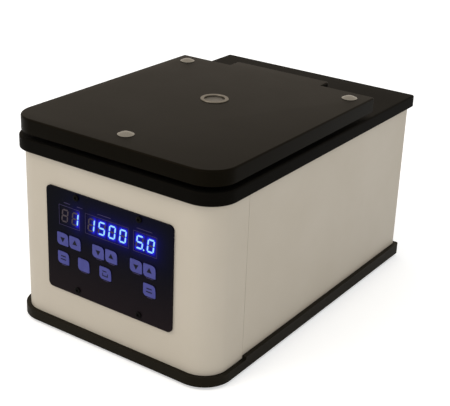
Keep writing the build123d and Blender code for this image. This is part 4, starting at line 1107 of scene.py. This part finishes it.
    def rules(self) -> None:
        """Prints the thin frames round the readouts and the short strokes by them and the keys."""
        mesh = bmesh.new()
        middle, tall = (self.frame_low + self.frame_high) / 2, self.frame_high - self.frame_low
        for left, right in self.frames:
            for x in (left, right):
                self.stroke(mesh, x, middle, self.rule_width, tall)
            for z in (self.frame_low, self.frame_high):
                self.stroke(mesh, (left + right) / 2, z, right - left, self.rule_width)
        for x, width in self.captions_above:
            self.stroke(mesh, x, self.caption_z, width, self.caption_width)
        for keys, row_z, widths in (
            (self.upper_keys[2:], self.upper_z, self.captions_upper),
            (self.lower_keys, self.lower_z, self.captions_lower),
        ):
            for x, width in zip(keys, widths):
                self.stroke(mesh, x, row_z - self.caption_drop, width, self.caption_width)
        lay_on(mesh, PANEL_FACE, self.ink_lift, self.ink_thick)
        new_piece("panel_rules", mesh, material_of(PALE_INK), "housing")

    def screws(self) -> None:
        """Makes the socket-headed screws."""
        mesh = bmesh.new()
        half = self.screw_height / 2
        for x, z in self.screws_at:
            before = set(mesh.verts)
            head = bmesh.ops.create_cone(
                mesh, cap_ends=True, segments=32, radius1=self.screw_radius,
                radius2=self.screw_radius, depth=self.screw_height,
            )["verts"]
            upper = [v for v in head if v.co.z > 0]
            rim = list({e for v in upper for e in v.link_edges if e.other_vert(v).co.z > 0})
            bmesh.ops.bevel(
                mesh, geom=rim, offset=self.screw_round, segments=3, profile=0.5, affect="EDGES",
                material=-1,
            )
            faces = {f for v in gained(mesh, before) for f in v.link_faces}
            top = max(faces, key=lambda f: f.calc_center_median().z)
            bmesh.ops.inset_region(mesh, faces=[top], thickness=self.socket_rim)
            floor = bmesh.ops.extrude_discrete_faces(mesh, faces=[top])["faces"][0]
            bmesh.ops.translate(mesh, vec=(0, 0, -self.socket_depth), verts=floor.verts)
            stand_up(mesh, gained(mesh, before), (x, PANEL_FACE - half, z))
        bmesh.ops.scale(mesh, vec=(MM, MM, MM), verts=mesh.verts)
        bmesh.ops.recalc_face_normals(mesh, faces=mesh.faces)
        black = material_of(BLACK_SCREW)
        piece = new_piece("panel_socket_screws", mesh, black, "housing")
        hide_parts("panel_screws")

    def build(self) -> None:
        """Makes and dresses the whole panel."""
        self.readouts.build()
        self.with_painted_glow("control_panel", PANEL_FILM, self.film_reach, self.film_step)
        self.with_painted_glow(
            "led_displays", DIGIT_WINDOW, self.window_reach, self.window_step
        )
        self.keys()
        self.key_marks()
        self.rules()
        self.screws()
        dress(BOARD, "display_board")
        dress(BLACK_PLASTIC, "key_switches")


@dataclass
class Latch:
    """The solenoid latch under the deck."""

    def build(self) -> None:
        """Dresses the latch."""
        dress(ZINC, "latch_bracket")
        dress(BLACK_PLASTIC, "latch_solenoid")
        dress(BRIGHT_STEEL, "latch_bolt")


@dataclass
class Supply:
    """The mains entry on the rear wall and the supply board behind it."""

    edge: float = 0.3 * MM

    def build(self) -> None:
        """Dresses the supply."""
        for node, body in (
            ("power_inlet", "housing"), ("switch_frame", "housing"),
            ("power_rocker", "power_rocker"), ("fuse_drawer", "fuse_drawer"),
        ):
            soften(node, BLACK_PLASTIC, body, self.edge)
        dress(BRASS, "inlet_blades")
        dress(GLASS, "fuse")
        dress(BOARD, "supply_board")
        dress(NYLON, "board_spacers")
        dress(ANODISED, "heat_sink")
        dress(SLEEVE, "capacitors")


@dataclass(frozen=True)
class Lamp:
    """A soft square lamp that points at the object."""

    name: str
    place: tuple[float, float, float]
    size: float
    power: float
    colour: str = "#ffffff"

    AIM: ClassVar[Vector] = Vector((0, 0, 0.1))

    def build(self) -> None:
        """Adds the lamp."""
        data = bpy.data.lights.new(self.name, "AREA")
        data.size, data.energy = self.size, self.power
        data.color = linear(self.colour)[:3]
        lamp = bpy.data.objects.new(self.name, data)
        bpy.context.scene.collection.objects.link(lamp)
        lamp.location = self.place
        lamp.rotation_euler = (self.AIM - Vector(self.place)).to_track_quat("-Z", "Y").to_euler()


@dataclass
class Studio:
    """The floor, lamps, world and camera."""

    position: tuple[float, float, float] = (0.5788, -0.8508, 0.5436)
    forward: tuple[float, float, float] = (-0.5276, 0.7558, -0.3879)
    roll: float = 1.942
    lens: float = 83.72
    sensor: float = 36.0
    shift: tuple[float, float] = (0.0322, -0.0305)
    world_level: float = 0.75
    mirrored_level: float = 0.9
    mirrored_colour: str = "#fff1df"
    floor_colour: str = "#f0f0ef"
    floor_size: float = 6.0
    floor_drop: float = 0.05 * MM
    floor_lift: float = 0.42
    lamps: tuple[Lamp, ...] = (
        Lamp("key_lamp", (-1.2, -1.6, 2.2), 1.6, 25.2, "#fff6ea"),
        Lamp("side_lamp", (2.0, -0.6, 1.4), 1.6, 5.4),
        Lamp("low_lamp", (0.3, -2.0, 0.15), 1.0, 6.3),
    )

    def camera(self) -> None:
        """Sets the camera at the photograph's viewing angle."""
        data = bpy.data.cameras.new("camera")
        data.lens, data.sensor_width = self.lens, self.sensor
        data.shift_x, data.shift_y = self.shift
        camera = bpy.data.objects.new("camera", data)
        bpy.context.scene.collection.objects.link(camera)
        aim = Vector(self.forward).to_track_quat("-Z", "Y").to_matrix().to_4x4()
        roll = Matrix.Rotation(radians(self.roll), 4, "Z")
        camera.matrix_world = Matrix.Translation(self.position) @ aim @ roll
        bpy.context.scene.camera = camera

    def world(self) -> None:
        """Lights the object evenly, and shows white behind it and a warm white in its gloss."""
        world = bpy.data.worlds.new("studio")
        world.use_nodes = True
        tree = world.node_tree
        plain = tree.nodes["Background"]
        plain.inputs["Color"].default_value = (1, 1, 1, 1)
        plain.inputs["Strength"].default_value = self.world_level
        white = add_node(
            tree, "ShaderNodeBackground", values={"Color": (1, 1, 1, 1), "Strength": 1.0}
        )
        warm = add_node(
            tree, "ShaderNodeBackground",
            values={"Color": linear(self.mirrored_colour), "Strength": self.mirrored_level},
        )
        path = add_node(tree, "ShaderNodeLightPath")
        seen = add_node(
            tree, "ShaderNodeMixShader",
            links={0: path.outputs["Is Glossy Ray"], 1: white.outputs[0], 2: warm.outputs[0]},
        )
        bounced = add_node(
            tree, "ShaderNodeMath", settings={"operation": "MAXIMUM"},
            links={0: path.outputs["Is Glossy Ray"], 1: path.outputs["Is Transmission Ray"]},
        )
        is_seen = add_node(
            tree, "ShaderNodeMath", settings={"operation": "MAXIMUM"},
            links={0: path.outputs["Is Camera Ray"], 1: bounced.outputs[0]},
        )
        mixed = add_node(
            tree, "ShaderNodeMixShader",
            links={0: is_seen.outputs[0], 1: plain.outputs[0], 2: seen.outputs[0]},
        )
        tree.links.new(mixed.outputs[0], tree.nodes["World Output"].inputs["Surface"])
        bpy.context.scene.world = world

    def floor(self) -> None:
        """Makes a plain white floor that still takes the object's shadow."""
        mesh = bmesh.new()
        bmesh.ops.create_grid(mesh, x_segments=1, y_segments=1, size=self.floor_size)
        data = bpy.data.meshes.new("floor")
        mesh.to_mesh(data)
        mesh.free()
        material, tree, shader = Finish("white_floor", self.floor_colour, 0.9, specular=0.0).start()
        path = add_node(tree, "ShaderNodeLightPath")
        lift = add_node(
            tree, "ShaderNodeMath", settings={"operation": "MULTIPLY"},
            values={1: self.floor_lift},
            links={0: path.outputs["Is Camera Ray"]},
        )
        shader.inputs["Emission Color"].default_value = (1, 1, 1, 1)
        tree.links.new(lift.outputs[0], shader.inputs["Emission Strength"])
        data.materials.append(material)
        floor = bpy.data.objects.new("floor", data)
        floor.location.z = -self.floor_drop
        bpy.context.scene.collection.objects.link(floor)

    def build(self) -> None:
        """Sets up the studio."""
        bpy.context.scene.view_settings.view_transform = "Standard"
        self.camera()
        self.world()
        self.floor()
        for lamp in self.lamps:
            lamp.build()


def main() -> None:
    """Builds the sub-assemblies and the studio in order."""
    for assembly in (Casework(), Chamber(), Lid(), ControlPanel(), Latch(), Supply(), Studio()):
        LOG.info("-- %s", type(assembly).__name__)
        assembly.build()


if __name__ == "__main__":
    main()
